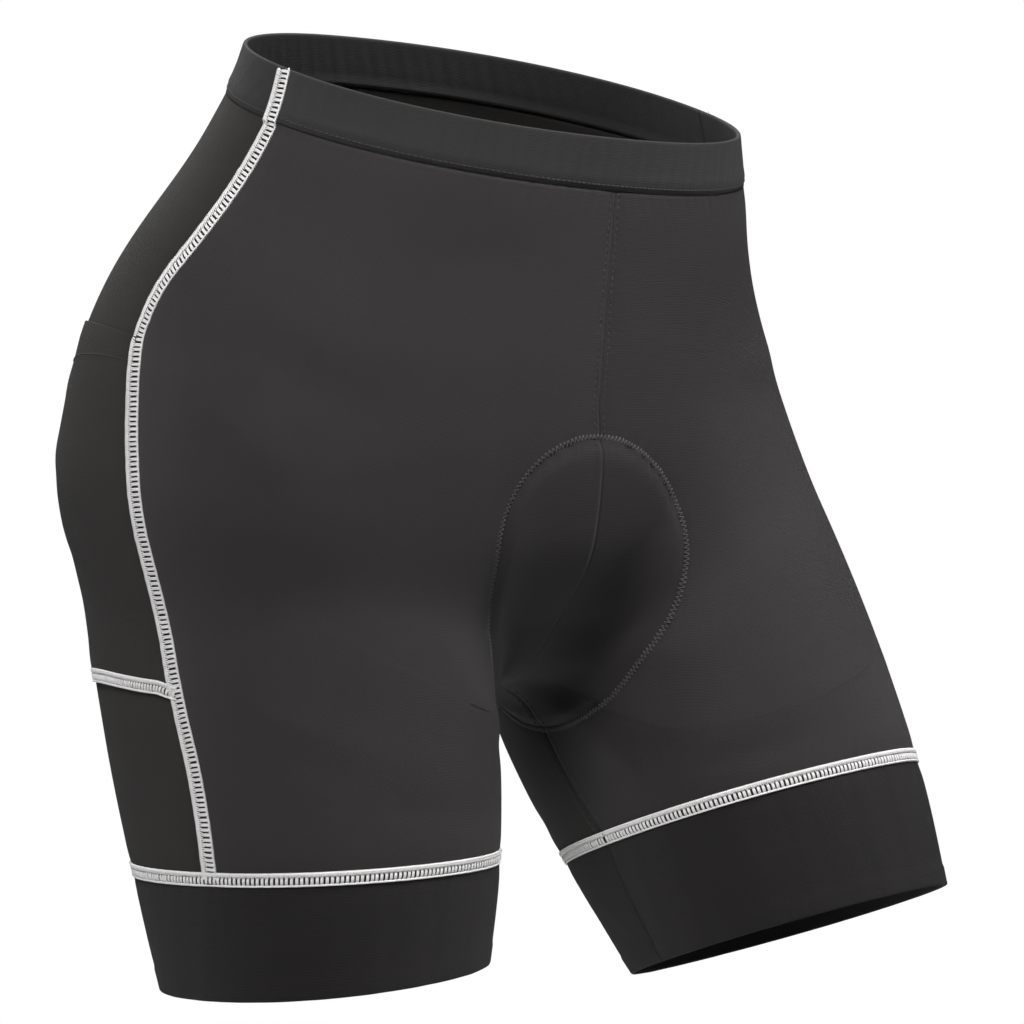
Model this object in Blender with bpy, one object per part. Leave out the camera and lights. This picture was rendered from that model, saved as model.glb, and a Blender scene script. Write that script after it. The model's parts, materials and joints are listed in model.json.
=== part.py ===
"""Cycling shorts in their worn form, filled out with no wearer.

Metres, +Z up. The front of the garment faces -Y and the wearer's left is +X. The origin is the middle
of the waist opening, at half the waistband's height, where the wearer's waist holds the shorts up.

Every piece is cut from one skin. The skin is a general figure: a pelvis and two thighs, each given by
a short table of sections, joined by a smooth union. Guides lead rays from inside the figure to the
skin, so rows run round the body and columns run down it, as the seams do.
"""

from collections import namedtuple

import bpy
import numpy as np

# Cloth
CLOTH = 0.0012
BAND_CLOTH = 0.0022
GRIPPER_CLOTH = 0.0016
SEAM_GAP = 0.0003
POCKET_LIFT = 0.0003
WAISTBAND_HEIGHT = 0.024
WAISTBAND_PROUD = 0.0005

# The figure that fills the shorts. It leans forward, and its weight is on the right leg.
PELVIS_PITCH = 11.0
PELVIS_ROLL = 2.0
WAIST_BACK_RISE = 5.0
WAIST_LEFT_DROP = 1.0
SECTION_POWER = 2.15
PELVIS_BLEND = 0.035
CROTCH_BLEND = 0.020
SIDE_BLEND = 0.060
SEAT_FROM = 0.178
SEAT_DEPTH = 0.093
THIGH_TOP = 0.100

Section = namedtuple("Section", "down half_width front back")
PELVIS_SECTIONS = (
    Section(-0.070, 0.126, 0.094, 0.088),
    Section(-0.012, 0.127, 0.094, 0.096),
    Section(0.028, 0.139, 0.098, 0.104),
    Section(0.068, 0.149, 0.102, 0.117),
    Section(0.108, 0.158, 0.107, 0.134),
    Section(0.148, 0.167, 0.109, 0.152),
    Section(0.188, 0.170, 0.103, 0.164),
    Section(0.228, 0.171, 0.090, 0.174),
)
ThighSection = namedtuple("ThighSection", "down outer inner front back")
THIGH_SECTIONS = (
    ThighSection(0.000, 0.082, 0.066, 0.084, 0.112),
    ThighSection(0.080, 0.087, 0.068, 0.091, 0.124),
    ThighSection(0.160, 0.088, 0.080, 0.090, 0.106),
    ThighSection(0.230, 0.083, 0.080, 0.084, 0.084),
    ThighSection(0.285, 0.074, 0.073, 0.074, 0.071),
    ThighSection(0.330, 0.067, 0.067, 0.067, 0.065),
)

Leg = namedtuple(
    "Leg", "outward hip_x hip_y hip_down lift swing hem_down gripper seam_rise hem_rise rays_back"
)
LEGS = {
    "right": Leg(
        outward=-1,
        hip_x=-0.079,
        hip_y=0.011,
        hip_down=0.138,
        lift=1.0,
        swing=-2.0,
        hem_down=0.2727,
        gripper=0.053,
        seam_rise=0.0,
        hem_rise=3.0,
        rays_back=0.000,
    ),
    "left": Leg(
        outward=1,
        hip_x=0.087,
        hip_y=0.004,
        hip_down=0.143,
        lift=17.0,
        swing=15.0,
        hem_down=0.268,
        gripper=0.0635,
        seam_rise=8.0,
        hem_rise=8.0,
        rays_back=0.022,
    ),
}

# Guides: where the rows stop being half rings of the pelvis and become rings of a thigh
HIP_ROW = 0.118
THIGH_ROW = 0.200
AXIS_BACK = 0.012
THIGH_ROW_BELOW_HIP = 0.066
CROTCH_AT = 80.0
CROTCH_LEAN = 10.5
INSEAM_AT = -2.0
RAY_SAG = 10.0

SeamAngle = namedtuple("SeamAngle", "down degrees")
SIDE_SEAM = (
    SeamAngle(-0.012, 172.5),
    SeamAngle(0.012, 171.5),
    SeamAngle(0.045, 174.0),
    SeamAngle(0.070, 177.5),
    SeamAngle(0.093, 181.5),
    SeamAngle(0.155, 181.5),
    SeamAngle(0.200, 178.0),
    SeamAngle(0.240, 176.0),
    SeamAngle(0.275, 171.0),
    SeamAngle(0.300, 167.0),
    SeamAngle(0.330, 164.5),
    SeamAngle(0.420, 168.0),
)

# Pad, flat on the crotch seam: two round ends and a narrower middle
PAD_FRONT_END = 9.0
PAD_BACK_END = 143.0
PAD_FRONT_RADIUS = 0.052
PAD_MIDDLE_HALF = 0.038
PAD_BACK_RADIUS = 0.056
PAD_CLEAR = 0.0020
PAD_RIM = 0.0020
PAD_MIDDLE = 0.0080
PAD_SLOPE = 0.026
PAD_PRESS = 0.0022
PAD_PRESS_WIDTH = 0.007

# Facets
FRONT_COLUMNS = 16
BACK_COLUMNS = 16
WAIST_ROWS = 2
TORSO_ROWS = 6
CROTCH_ROWS = 12
THIGH_ROWS = 9
GRIPPER_ROWS = 3
POCKET_COLUMNS = 8
POCKET_TOP_ROW = 6
POCKET_BOTTOM_ROW = 22
POCKET_CLIMB = 0.024
MOUTH_DROP = 0.0055
MOUTH_DROP_REACH = 0.062
PAD_ROWS = 26
PAD_COLUMNS = 12


def turn(axis, degrees):
    """Rotation matrices about a unit axis, one for each angle."""
    angle = np.radians(np.asarray(degrees, float))[..., None, None]
    x, y, z = axis
    cross = np.array([[0, -z, y], [z, 0, -x], [-y, x, 0]])
    return np.eye(3) + np.sin(angle) * cross + (1 - np.cos(angle)) * (cross @ cross)


def smooth(t):
    """0 to 1 with level ends."""
    t = np.clip(t, 0, 1)
    return t * t * (3 - 2 * t)


def through(table, name, at):
    """A smooth curve through one named column of a table, flat past its ends."""
    keys = np.array([row[0] for row in table])
    values = np.array([getattr(row, name) for row in table])
    slopes = np.gradient(values, keys)
    at = np.clip(at, keys[0], keys[-1])
    i = np.clip(np.searchsorted(keys, at) - 1, 0, len(keys) - 2)
    span = keys[i + 1] - keys[i]
    t = (at - keys[i]) / span
    rise = (3 - 2 * t) * t * t
    return (
        (1 - rise) * values[i]
        + rise * values[i + 1]
        + (t - 1) ** 2 * t * span * slopes[i]
        + (t - 1) * t * t * span * slopes[i + 1]
    )


PELVIS_TURN = turn((0, 1, 0), PELVIS_ROLL) @ turn((1, 0, 0), PELVIS_PITCH)


def hip_of(leg):
    return PELVIS_TURN @ np.array([leg.hip_x, leg.hip_y, -leg.hip_down])


def thigh_turn(leg):
    return turn((0, 1, 0), -leg.outward * leg.swing) @ turn((1, 0, 0), -leg.lift)


def hem_row(leg):
    return THIGH_ROW + leg.hem_down - THIGH_ROW_BELOW_HIP


def gripper_row(leg):
    return hem_row(leg) - leg.gripper


def ring_depth(local, half_width, front, back, past_end):
    """How far outside a rounded stack of sections a point is, near enough to a distance."""
    depth = np.where(local[..., 1] < 0, front, back)
    across = np.abs(local[..., 0] / half_width) ** SECTION_POWER
    along = np.abs(local[..., 1] / depth) ** SECTION_POWER
    ring = (across + along) ** (1 / SECTION_POWER)
    return (np.hypot(ring, past_end) - 1) * (half_width + front) / 2


def pelvis_depth(points):
    local = points @ PELVIS_TURN
    down = -local[..., 2]
    half_width = through(PELVIS_SECTIONS, "half_width", down)
    front, back = (through(PELVIS_SECTIONS, name, down) for name in ("front", "back"))
    return ring_depth(local, half_width, front, back, np.maximum(down - SEAT_FROM, 0) / SEAT_DEPTH)


def thigh_depth(points, leg):
    local = (points - hip_of(leg)) @ thigh_turn(leg)
    down = -local[..., 2]
    outer, inner = (through(THIGH_SECTIONS, name, down) for name in ("outer", "inner"))
    front, back = (through(THIGH_SECTIONS, name, down) for name in ("front", "back"))
    half_width = inner + (outer - inner) * smooth(0.5 + local[..., 0] * leg.outward / SIDE_BLEND)
    return ring_depth(local, half_width, front, back, np.maximum(-down, 0) / THIGH_TOP)


def union(a, b, blend):
    """Smooth union of two depths."""
    share = np.clip(0.5 + 0.5 * (b - a) / blend, 0, 1)
    return b + (a - b) * share - blend * share * (1 - share)


def figure_depth(points):
    thighs = union(thigh_depth(points, LEGS["right"]), thigh_depth(points, LEGS["left"]), CROTCH_BLEND)
    return union(thighs, pelvis_depth(points), PELVIS_BLEND)


def leave(origins, directions, reach=0.40, steps=50, halvings=26):
    """Where rays from inside the figure come out of it."""
    origins, directions = np.broadcast_arrays(origins, directions)
    inside = np.zeros(origins.shape[:-1])
    outside = np.full(inside.shape, reach)
    found = np.zeros(inside.shape, bool)
    for distance in np.linspace(reach / steps, reach, steps):
        is_out = figure_depth(origins + directions * distance) > 0
        outside = np.where(is_out & ~found, distance, outside)
        found |= is_out
        inside = np.where(found, inside, distance)
    for _ in range(halvings):
        middle = (inside + outside) / 2
        is_out = figure_depth(origins + directions * middle[..., None]) > 0
        inside = np.where(is_out, inside, middle)
        outside = np.where(is_out, middle, outside)
    return origins + directions * outside[..., None]


def slopes_of(points, step=0.0006):
    moves = step * np.eye(3)
    rises = [figure_depth(points + move) - figure_depth(points - move) for move in moves]
    return np.stack(rises, axis=-1) / (2 * step)


def outward_normals(points):
    slopes = slopes_of(points)
    return slopes / np.linalg.norm(slopes, axis=-1, keepdims=True)


def onto_skin(points):
    """Points near the skin, moved onto it."""
    for _ in range(3):
        slopes = slopes_of(points)
        points = points - slopes * (figure_depth(points) / (slopes**2).sum(-1))[..., None]
    return points


# The crotch seam: 0 degrees faces front, 90 down, 180 back. It leans to the middle between the thighs.
HIP_CENTRE = PELVIS_TURN @ np.array([0, AXIS_BACK, -HIP_ROW])
CROTCH_ANGLES = np.linspace(0, 180, 91)


def crotch_directions(degrees):
    angle = np.radians(degrees)
    local = np.stack([0 * angle, -np.cos(angle), -np.sin(angle)], -1)
    return local @ turn((0, 1, 0), -CROTCH_LEAN).T @ PELVIS_TURN.T


CROTCH_CURVE = leave(HIP_CENTRE, crotch_directions(CROTCH_ANGLES))
CROTCH_LENGTH = np.concatenate([[0], np.cumsum(np.linalg.norm(np.diff(CROTCH_CURVE, axis=0), axis=1))])


def crotch_point(degrees):
    return np.stack([np.interp(degrees, CROTCH_ANGLES, CROTCH_CURVE[:, k]) for k in range(3)], -1)


def along_crotch(degrees):
    """Length along the crotch seam at an angle."""
    return np.interp(degrees, CROTCH_ANGLES, CROTCH_LENGTH)


def pad_inset(along, across):
    """How far inside the pad's outline a place is, from lengths along the crotch seam and across it."""
    front = along_crotch(PAD_FRONT_END) + PAD_FRONT_RADIUS
    back = along_crotch(PAD_BACK_END) - PAD_BACK_RADIUS
    middle = (front + back) / 2
    to_front = smooth((middle - along) / (middle - front))
    to_back = smooth((along - middle) / (back - middle))
    half = PAD_MIDDLE_HALF + (PAD_FRONT_RADIUS - PAD_MIDDLE_HALF) * to_front
    half = half + (PAD_BACK_RADIUS - PAD_MIDDLE_HALF) * to_back
    past = np.where(along < front, along - front, np.maximum(along - back, 0))
    return half - np.hypot(across, past)


def walk(starts, directions, lengths):
    """Points reached by walking along the skin from each start. Rows of the answer follow the lengths."""
    normals = outward_normals(starts)
    points, reached, so_far = starts, [], 0.0
    for length in lengths:
        step = length - so_far
        so_far = length
        directions = directions - normals * (directions * normals).sum(-1, keepdims=True)
        directions = directions / np.linalg.norm(directions, axis=-1, keepdims=True)
        points = onto_skin(points + directions * step)
        normals = outward_normals(points)
        reached.append(points)
    return np.stack(reached)


def across_crotch(degrees, lengths):
    """The skin beside the crotch seam: points at lengths to both sides, from right to left."""
    starts = crotch_point(degrees)
    left = np.broadcast_to(PELVIS_TURN[:, 0], starts.shape)
    lengths = np.asarray(lengths)
    to_left = walk(starts, left, lengths)
    to_right = walk(starts, -left, lengths)
    return np.concatenate([to_right[::-1], starts[None], to_left])


def pad_cells():
    """Places spread over the crotch, and how far inside the pad's outline each one is."""
    degrees = np.linspace(0, PAD_BACK_END + 12, 84)
    lengths = np.linspace(0.003, 0.084, 28)
    points = across_crotch(degrees, lengths)
    across = np.concatenate([-lengths[::-1], [0], lengths])
    inset = pad_inset(along_crotch(degrees)[None], across[:, None])
    return points.reshape(-1, 3), inset.reshape(-1)


PAD_POINTS, PAD_INSETS = pad_cells()


def pad_depth(points):
    """How far inside the pad's outline points of the skin are; well outside it, a large negative length."""
    flat = points.reshape(-1, 3)
    depth = np.full(len(flat), -0.1)
    low, high = PAD_POINTS.min(axis=0) - 0.01, PAD_POINTS.max(axis=0) + 0.01
    near = np.nonzero(((flat > low) & (flat < high)).all(axis=1))[0]
    for chunk in np.array_split(near, len(near) // 400 + 1):
        gap = np.linalg.norm(flat[chunk, None] - PAD_POINTS[None], axis=-1)
        nearest = np.argpartition(gap, 4, axis=1)[:, :4]
        distance = np.take_along_axis(gap, nearest, axis=1)
        weight = 1 / (distance + 0.0003) ** 2
        value = (PAD_INSETS[nearest] * weight).sum(axis=1) / weight.sum(axis=1)
        depth[chunk] = np.where(distance.min(axis=1) < 0.008, value, -0.1)
    return depth.reshape(points.shape[:-1])


def dressed(points):
    """Skin points with the pad pressing the cloth out, and their normals."""
    normals = outward_normals(points)
    press = PAD_PRESS * smooth(0.5 + pad_depth(points) / PAD_PRESS_WIDTH)
    return points + normals * press[..., None], normals


def axis_point(leg, down):
    """Where the rays of a row start."""
    thigh = thigh_turn(leg)
    thigh_start = hip_of(leg) - thigh[:, 2] * THIGH_ROW_BELOW_HIP
    blend = np.clip((down - HIP_ROW) / (THIGH_ROW - HIP_ROW), 0, 1)
    on_pelvis = np.minimum(down, HIP_ROW)[..., None] * -PELVIS_TURN[:, 2] + AXIS_BACK * PELVIS_TURN[:, 1]
    past_thigh = np.maximum(down - THIGH_ROW, 0)[..., None] * -thigh[:, 2]
    back = leg.rays_back * blend * (1 - smooth((down - THIGH_ROW) / (gripper_row(leg) - THIGH_ROW)))
    on_thigh = (thigh_start - HIP_CENTRE) * blend[..., None] + past_thigh
    return on_pelvis + on_thigh + back[..., None] * thigh[:, 1]


def row_frame(leg, down):
    """The frame of a row's rays: the waist's tilt, then the pelvis, then the thigh, then the hem's tilt."""
    relative = PELVIS_TURN.T @ thigh_turn(leg)
    angle = np.degrees(np.arccos((np.trace(relative) - 1) / 2))
    twist = relative - relative.T
    axis = np.array([twist[2, 1], twist[0, 2], twist[1, 0]])
    blend = smooth((down - HIP_ROW) / (gripper_row(leg) - HIP_ROW))
    at_waist = 1 - smooth(down / HIP_ROW)
    settled = smooth((down - THIGH_ROW) / (gripper_row(leg) - THIGH_ROW))
    down_gripper = np.clip((down - gripper_row(leg)) / leg.gripper, 0, 1)
    hem_rise = leg.seam_rise + (leg.hem_rise - leg.seam_rise) * down_gripper
    waist_tilt = turn((0, 1, 0), WAIST_LEFT_DROP * at_waist) @ turn((1, 0, 0), WAIST_BACK_RISE * at_waist)
    frame = PELVIS_TURN @ waist_tilt
    frame = frame @ turn(axis / np.linalg.norm(axis), angle * blend)
    return frame @ turn((0, 1, 0), leg.outward * hem_rise * settled)


def bearing_direction(leg, bearing, dip):
    """A ray in its row's frame. Bearing 0 faces the other leg, 90 the front, 180 the side."""
    bearing, dip = np.radians(bearing), np.radians(dip)
    level = np.cos(dip)
    return np.stack([-leg.outward * np.cos(bearing) * level, -np.sin(bearing) * level, -np.sin(dip)], -1)


def inseam_end(leg):
    """Where the inseam meets the gripper."""
    down = np.array(gripper_row(leg))
    direction = row_frame(leg, down) @ bearing_direction(leg, INSEAM_AT, 0.0)
    return leave(axis_point(leg, down), direction)


def guide(leg, down):
    """For each row: the rays' origin, its frame, and the bearing and dip of its front and back ends."""
    down = np.asarray(down, float)
    blend = np.clip((down - HIP_ROW) / (THIGH_ROW - HIP_ROW), 0, 1)
    along_inseam = np.clip((down - THIGH_ROW) / (gripper_row(leg) - THIGH_ROW), 0, 1)[..., None]
    down_inseam = (inseam_end(leg) - crotch_point(CROTCH_AT)) * along_inseam
    origin, frame = axis_point(leg, down), row_frame(leg, down)
    bearings, dips = [], []
    for start, middle in ((0.0, 90.0), (180.0, 270.0)):
        target = crotch_point(start + (CROTCH_AT - start) * blend) + down_inseam
        local = np.einsum("...ji,...j->...i", frame, target - origin)
        bearing = np.degrees(np.arctan2(-local[..., 1], -leg.outward * local[..., 0]))
        dip = np.degrees(np.arctan2(-local[..., 2], np.hypot(local[..., 0], local[..., 1])))
        end = INSEAM_AT + 2 * start
        bearing = bearing + 360 * np.round((end + 45 - bearing) / 360) if not start else bearing % 360
        bearing = np.where(bearing < 180, bearing + 360, bearing) if start else bearing
        bearings.append(np.where(down <= HIP_ROW, middle, np.where(along_inseam[..., 0] < 1, bearing, end)))
        dips.append(np.where((down <= HIP_ROW) | (along_inseam[..., 0] >= 1), 0.0, dip))
    return origin, frame, bearings, dips


def seam_bearing(down):
    return through(SIDE_SEAM, "degrees", down)


def skin(leg, down, bearing_share, panel):
    """Points of the skin on a panel: share 0 to 1 runs from the front seam to the side seam, or on back."""
    origin, frame, bearings, dips = guide(leg, down)
    side = seam_bearing(down)
    if panel == "front":
        bearing = bearings[0] + (side - bearings[0]) * bearing_share
    else:
        bearing = side + (bearings[1] - side) * bearing_share
    front_share = np.clip((180 - bearing) / (180 - bearings[0]), 0, 1)
    back_share = np.clip((bearing - 180) / (bearings[1] - 180), 0, 1)
    sag = RAY_SAG * np.sin(np.pi * np.maximum(front_share, back_share))
    sag = sag * smooth((down - HIP_ROW) / (THIGH_ROW - HIP_ROW))
    sag = sag * (1 - smooth((down - THIGH_ROW) / (gripper_row(leg) - THIGH_ROW)))
    dip = dips[0] * smooth(front_share) + dips[1] * smooth(back_share) + sag
    return leave(origin, np.einsum("...ij,...j->...i", frame, bearing_direction(leg, bearing, dip)))


# Panels
def spread(start, end, count, gap_before=0.0, gap_after=0.0):
    return np.linspace(start + gap_before, end - gap_after, count + 1)


def panel_rows(leg):
    """How far down each row of a panel is at the side seam."""
    top = spread(WAISTBAND_HEIGHT / 2 + SEAM_GAP / 2, HIP_ROW, TORSO_ROWS)
    middle = spread(HIP_ROW, THIGH_ROW, CROTCH_ROWS)
    low = spread(THIGH_ROW, gripper_row(leg) - SEAM_GAP / 2, THIGH_ROWS)
    return np.concatenate([top, middle[1:], low[1:]])


def climb(down, leg, bearing_share):
    """Rows of the back panel drop behind the side seam at the pocket's mouth and climb at its bottom edge."""
    low = gripper_row(leg)
    at_bottom = panel_rows(leg)[POCKET_BOTTOM_ROW]
    to_bottom = smooth((down - HIP_ROW) / (at_bottom - HIP_ROW))
    up = np.where(down < at_bottom, to_bottom, smooth((low - down) / (low - at_bottom)))
    past_mouth = 1 - smooth((down - HIP_ROW) / MOUTH_DROP_REACH)
    to_mouth = smooth((down - WAISTBAND_HEIGHT) / (HIP_ROW - WAISTBAND_HEIGHT))
    drop = np.where(down < HIP_ROW, to_mouth, past_mouth)
    pocket_share = POCKET_COLUMNS / BACK_COLUMNS
    along = np.minimum(bearing_share / pocket_share, (1 - bearing_share) / (1 - pocket_share))
    return (POCKET_CLIMB * up - MOUTH_DROP * drop) * smooth(along)


def panel_skin(leg, downs, columns, panel):
    """Bare skin points, the same pressed out by the pad, and normals. Columns run from the side seam."""
    down, share = np.meshgrid(downs, np.linspace(0, 1, columns + 1), indexing="ij")
    if panel == "back":
        down = down - climb(down, leg, share)
        bare = skin(leg, down, share, "back")
    else:
        bare = skin(leg, down, 1 - share, "front")
    for edge, inner in ((0, 1), (-1, -2)):
        into = bare[:, inner] - bare[:, edge]
        bare[:, edge] += SEAM_GAP / 2 * into / np.linalg.norm(into, axis=-1, keepdims=True)
    out, normals = dressed(bare)
    return bare, out, normals


def wall(name, outer, inner, look):
    """A closed wall between two grids of points. Columns run to the wearer's left seen from the front."""
    rows, columns = outer.shape[:2]
    points = np.concatenate([outer.reshape(-1, 3), inner.reshape(-1, 3)])
    index = np.arange(rows * columns).reshape(rows, columns)
    back = index + rows * columns
    faces = []
    for i in range(rows - 1):
        for j in range(columns - 1):
            faces.append((index[i, j], index[i + 1, j], index[i + 1, j + 1], index[i, j + 1]))
            faces.append((back[i, j], back[i, j + 1], back[i + 1, j + 1], back[i + 1, j]))
    for i in range(rows - 1):
        faces.append((index[i, 0], back[i, 0], back[i + 1, 0], index[i + 1, 0]))
        faces.append((index[i, -1], index[i + 1, -1], back[i + 1, -1], back[i, -1]))
    for j in range(columns - 1):
        faces.append((index[0, j], index[0, j + 1], back[0, j + 1], back[0, j]))
        faces.append((index[-1, j], back[-1, j], back[-1, j + 1], index[-1, j + 1]))
    return add_piece(name, points, faces, look)


# Objects
def add_piece(name, points, faces, look):
    mesh = bpy.data.meshes.new(name)
    mesh.from_pydata([tuple(p) for p in points.tolist()], [], [tuple(int(k) for k in f) for f in faces])
    mesh.validate()
    mesh.polygons.foreach_set("use_smooth", [True] * len(mesh.polygons))
    mesh.materials.append(look)
    piece = bpy.data.objects.new(name, mesh)
    collection.objects.link(piece)
    return piece


def add_look(name, color, roughness):
    look = bpy.data.materials.new(name)
    look.use_nodes = True
    shader = look.node_tree.nodes["Principled BSDF"]
    shader.inputs["Base Color"].default_value = (*color, 1.0)
    shader.inputs["Roughness"].default_value = roughness
    return look


for old in list(bpy.data.objects):
    bpy.data.objects.remove(old)
collection = bpy.data.collections.new("cycling_shorts")
bpy.context.scene.collection.children.link(collection)

jersey = add_look("jersey", (0.022, 0.022, 0.022), 0.72)
side_jersey = add_look("side_jersey", (0.018, 0.017, 0.015), 0.75)
band_elastic = add_look("band_elastic", (0.020, 0.020, 0.020), 0.75)
gripper_knit = add_look("gripper_knit", (0.014, 0.014, 0.014), 0.78)
pad_foam = add_look("pad_foam", (0.060, 0.060, 0.064), 0.85)


def grid_walls(leg_name):
    leg = LEGS[leg_name]
    flip = {"front": leg.outward > 0, "back": leg.outward < 0}
    grids = {}
    for panel, columns in (("front", FRONT_COLUMNS), ("back", BACK_COLUMNS)):
        bare, out, normals = panel_skin(leg, panel_rows(leg), columns, panel)
        grids[panel] = bare, out, normals
        outer, inner = out, bare - normals * CLOTH
        if flip[panel]:
            outer, inner = outer[:, ::-1], inner[:, ::-1]
        wall(f"{panel}_{leg_name}", outer, inner, jersey if panel == "front" else side_jersey)
    bare, out, normals = grids["back"]
    patch = np.s_[POCKET_TOP_ROW : POCKET_BOTTOM_ROW + 1, : POCKET_COLUMNS + 1]
    under = out[patch] + normals[patch] * POCKET_LIFT
    over = under + normals[patch] * CLOTH
    if flip["back"]:
        under, over = under[:, ::-1], over[:, ::-1]
    wall(f"pocket_{leg_name}", over, under, side_jersey)


def gripper_wall(leg_name):
    """One band round the thigh, joined at the inseam by a seam of its own."""
    leg = LEGS[leg_name]
    downs = spread(gripper_row(leg), hem_row(leg), GRIPPER_ROWS, gap_before=SEAM_GAP / 2)
    front = skin_strip(leg, downs, "front", FRONT_COLUMNS)
    back = skin_strip(leg, downs, "back", BACK_COLUMNS)
    ring = np.concatenate([front, back[:, 1:]], axis=1)
    for edge, inner in ((0, 1), (-1, -2)):
        into = ring[:, inner] - ring[:, edge]
        ring[:, edge] += SEAM_GAP / 2 * into / np.linalg.norm(into, axis=-1, keepdims=True)
    normals = outward_normals(ring)
    outer, inner = ring, ring - normals * GRIPPER_CLOTH
    if leg.outward < 0:
        outer, inner = outer[:, ::-1], inner[:, ::-1]
    wall(f"gripper_{leg_name}", outer, inner, gripper_knit)


def skin_strip(leg, downs, panel, columns):
    down, share = np.meshgrid(downs, np.linspace(0, 1, columns + 1), indexing="ij")
    return skin(leg, down, share, panel)


def waistband_wall(panel, columns):
    """One band from side seam to side seam."""
    downs = spread(-WAISTBAND_HEIGHT / 2, WAISTBAND_HEIGHT / 2, WAIST_ROWS, gap_after=SEAM_GAP / 2)
    right = skin_strip(LEGS["right"], downs, panel, columns)
    left = skin_strip(LEGS["left"], downs, panel, columns)
    if panel == "front":
        band = np.concatenate([right[:, ::-1], left[:, 1:]], axis=1)
    else:
        band = np.concatenate([left, right[:, ::-1][:, 1:]], axis=1)
    for edge, inner in ((0, 1), (-1, -2)):
        into = band[:, inner] - band[:, edge]
        band[:, edge] += SEAM_GAP / 2 * into / np.linalg.norm(into, axis=-1, keepdims=True)
    normals = outward_normals(band)
    outer = band + normals * WAISTBAND_PROUD
    wall(f"waistband_{panel}", outer, outer - normals * BAND_CLOTH, band_elastic)


def pad_wall():
    """The pad follows the crotch seam inside the panels and is thickest along its middle."""
    degrees = np.linspace(PAD_FRONT_END, PAD_BACK_END, PAD_ROWS + 1)
    along = along_crotch(degrees)
    across = np.linspace(0, PAD_BACK_RADIUS, 125)
    inside = pad_inset(along[:, None], across[None]) > 0
    half = np.maximum(across[np.where(inside, np.arange(len(across)), 0).max(axis=1)], 0.010)
    shares = np.linspace(0, 1, PAD_COLUMNS // 2 + 1)[1:]
    starts = crotch_point(degrees)
    left = np.broadcast_to(PELVIS_TURN[:, 0], starts.shape)
    reach = np.linspace(0.002, PAD_BACK_RADIUS, 31)
    grid = []
    for sideways, order in ((-left, -1), (left, 1)):
        path = np.concatenate([starts[None], walk(starts, sideways, reach)])
        at = np.concatenate([[0], reach])
        side = [[row_point(path[:, i], at, share * half[i]) for share in shares] for i in range(len(degrees))]
        grid.append(np.array(side)[:, ::order])
    points = np.concatenate([grid[0], starts[:, None], grid[1]], axis=1)
    offsets = np.concatenate([-shares[::-1], [0], shares]) * half[:, None]
    inset = np.maximum(pad_inset(along[:, None], np.abs(offsets)), 0)
    normals = outward_normals(points)
    outer = points - normals * (CLOTH + PAD_CLEAR)
    thick = PAD_RIM + (PAD_MIDDLE - PAD_RIM) * smooth(inset / PAD_SLOPE)
    wall("chamois_pad", outer, outer - normals * thick[..., None], pad_foam)


def row_point(path, at, length):
    return np.array([np.interp(length, at, path[:, k]) for k in range(3)])


for leg_name in LEGS:
    grid_walls(leg_name)
    gripper_wall(leg_name)
for panel, columns in (("front", FRONT_COLUMNS), ("back", BACK_COLUMNS)):
    waistband_wall(panel, columns)
pad_wall()
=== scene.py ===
"""How the cycling shorts look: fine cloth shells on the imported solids, with seams, stitches and creases.

Metres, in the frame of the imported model. The figure and its guides repeat the values and functions that
the solids are made from, so each shell lies where its solid does.
"""

import json
from collections import namedtuple

import bpy
import numpy as np
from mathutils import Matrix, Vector
from mathutils.bvhtree import BVHTree

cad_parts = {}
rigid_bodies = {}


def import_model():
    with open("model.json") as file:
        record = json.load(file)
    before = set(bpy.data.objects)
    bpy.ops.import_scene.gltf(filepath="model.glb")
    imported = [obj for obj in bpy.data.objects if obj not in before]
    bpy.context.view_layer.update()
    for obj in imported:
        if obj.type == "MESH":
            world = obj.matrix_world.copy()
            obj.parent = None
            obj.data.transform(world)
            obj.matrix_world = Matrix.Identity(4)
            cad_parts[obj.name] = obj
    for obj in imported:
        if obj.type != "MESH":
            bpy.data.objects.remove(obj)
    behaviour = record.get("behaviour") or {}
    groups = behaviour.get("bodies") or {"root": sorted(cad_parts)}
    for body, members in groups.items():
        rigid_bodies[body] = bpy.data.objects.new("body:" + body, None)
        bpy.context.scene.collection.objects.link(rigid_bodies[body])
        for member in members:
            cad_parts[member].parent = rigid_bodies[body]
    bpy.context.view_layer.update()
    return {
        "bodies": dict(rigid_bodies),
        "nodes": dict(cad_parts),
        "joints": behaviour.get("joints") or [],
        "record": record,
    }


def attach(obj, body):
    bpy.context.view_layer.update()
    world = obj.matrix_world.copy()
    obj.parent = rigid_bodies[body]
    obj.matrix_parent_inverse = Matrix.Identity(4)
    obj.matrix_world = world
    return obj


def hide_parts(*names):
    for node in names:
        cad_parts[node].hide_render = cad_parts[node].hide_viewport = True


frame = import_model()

# Cloth
CLOTH = 0.0012
BAND_CLOTH = 0.0022
GRIPPER_CLOTH = 0.0016
SEAM_GAP = 0.0003
WAISTBAND_HEIGHT = 0.024
WAISTBAND_PROUD = 0.0005

# The figure that fills the shorts. It leans forward, and its weight is on the right leg.
PELVIS_PITCH = 11.0
PELVIS_ROLL = 2.0
WAIST_BACK_RISE = 5.0
WAIST_LEFT_DROP = 1.0
SECTION_POWER = 2.15
PELVIS_BLEND = 0.035
CROTCH_BLEND = 0.020
SIDE_BLEND = 0.060
SEAT_FROM = 0.178
SEAT_DEPTH = 0.093
THIGH_TOP = 0.100

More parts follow.
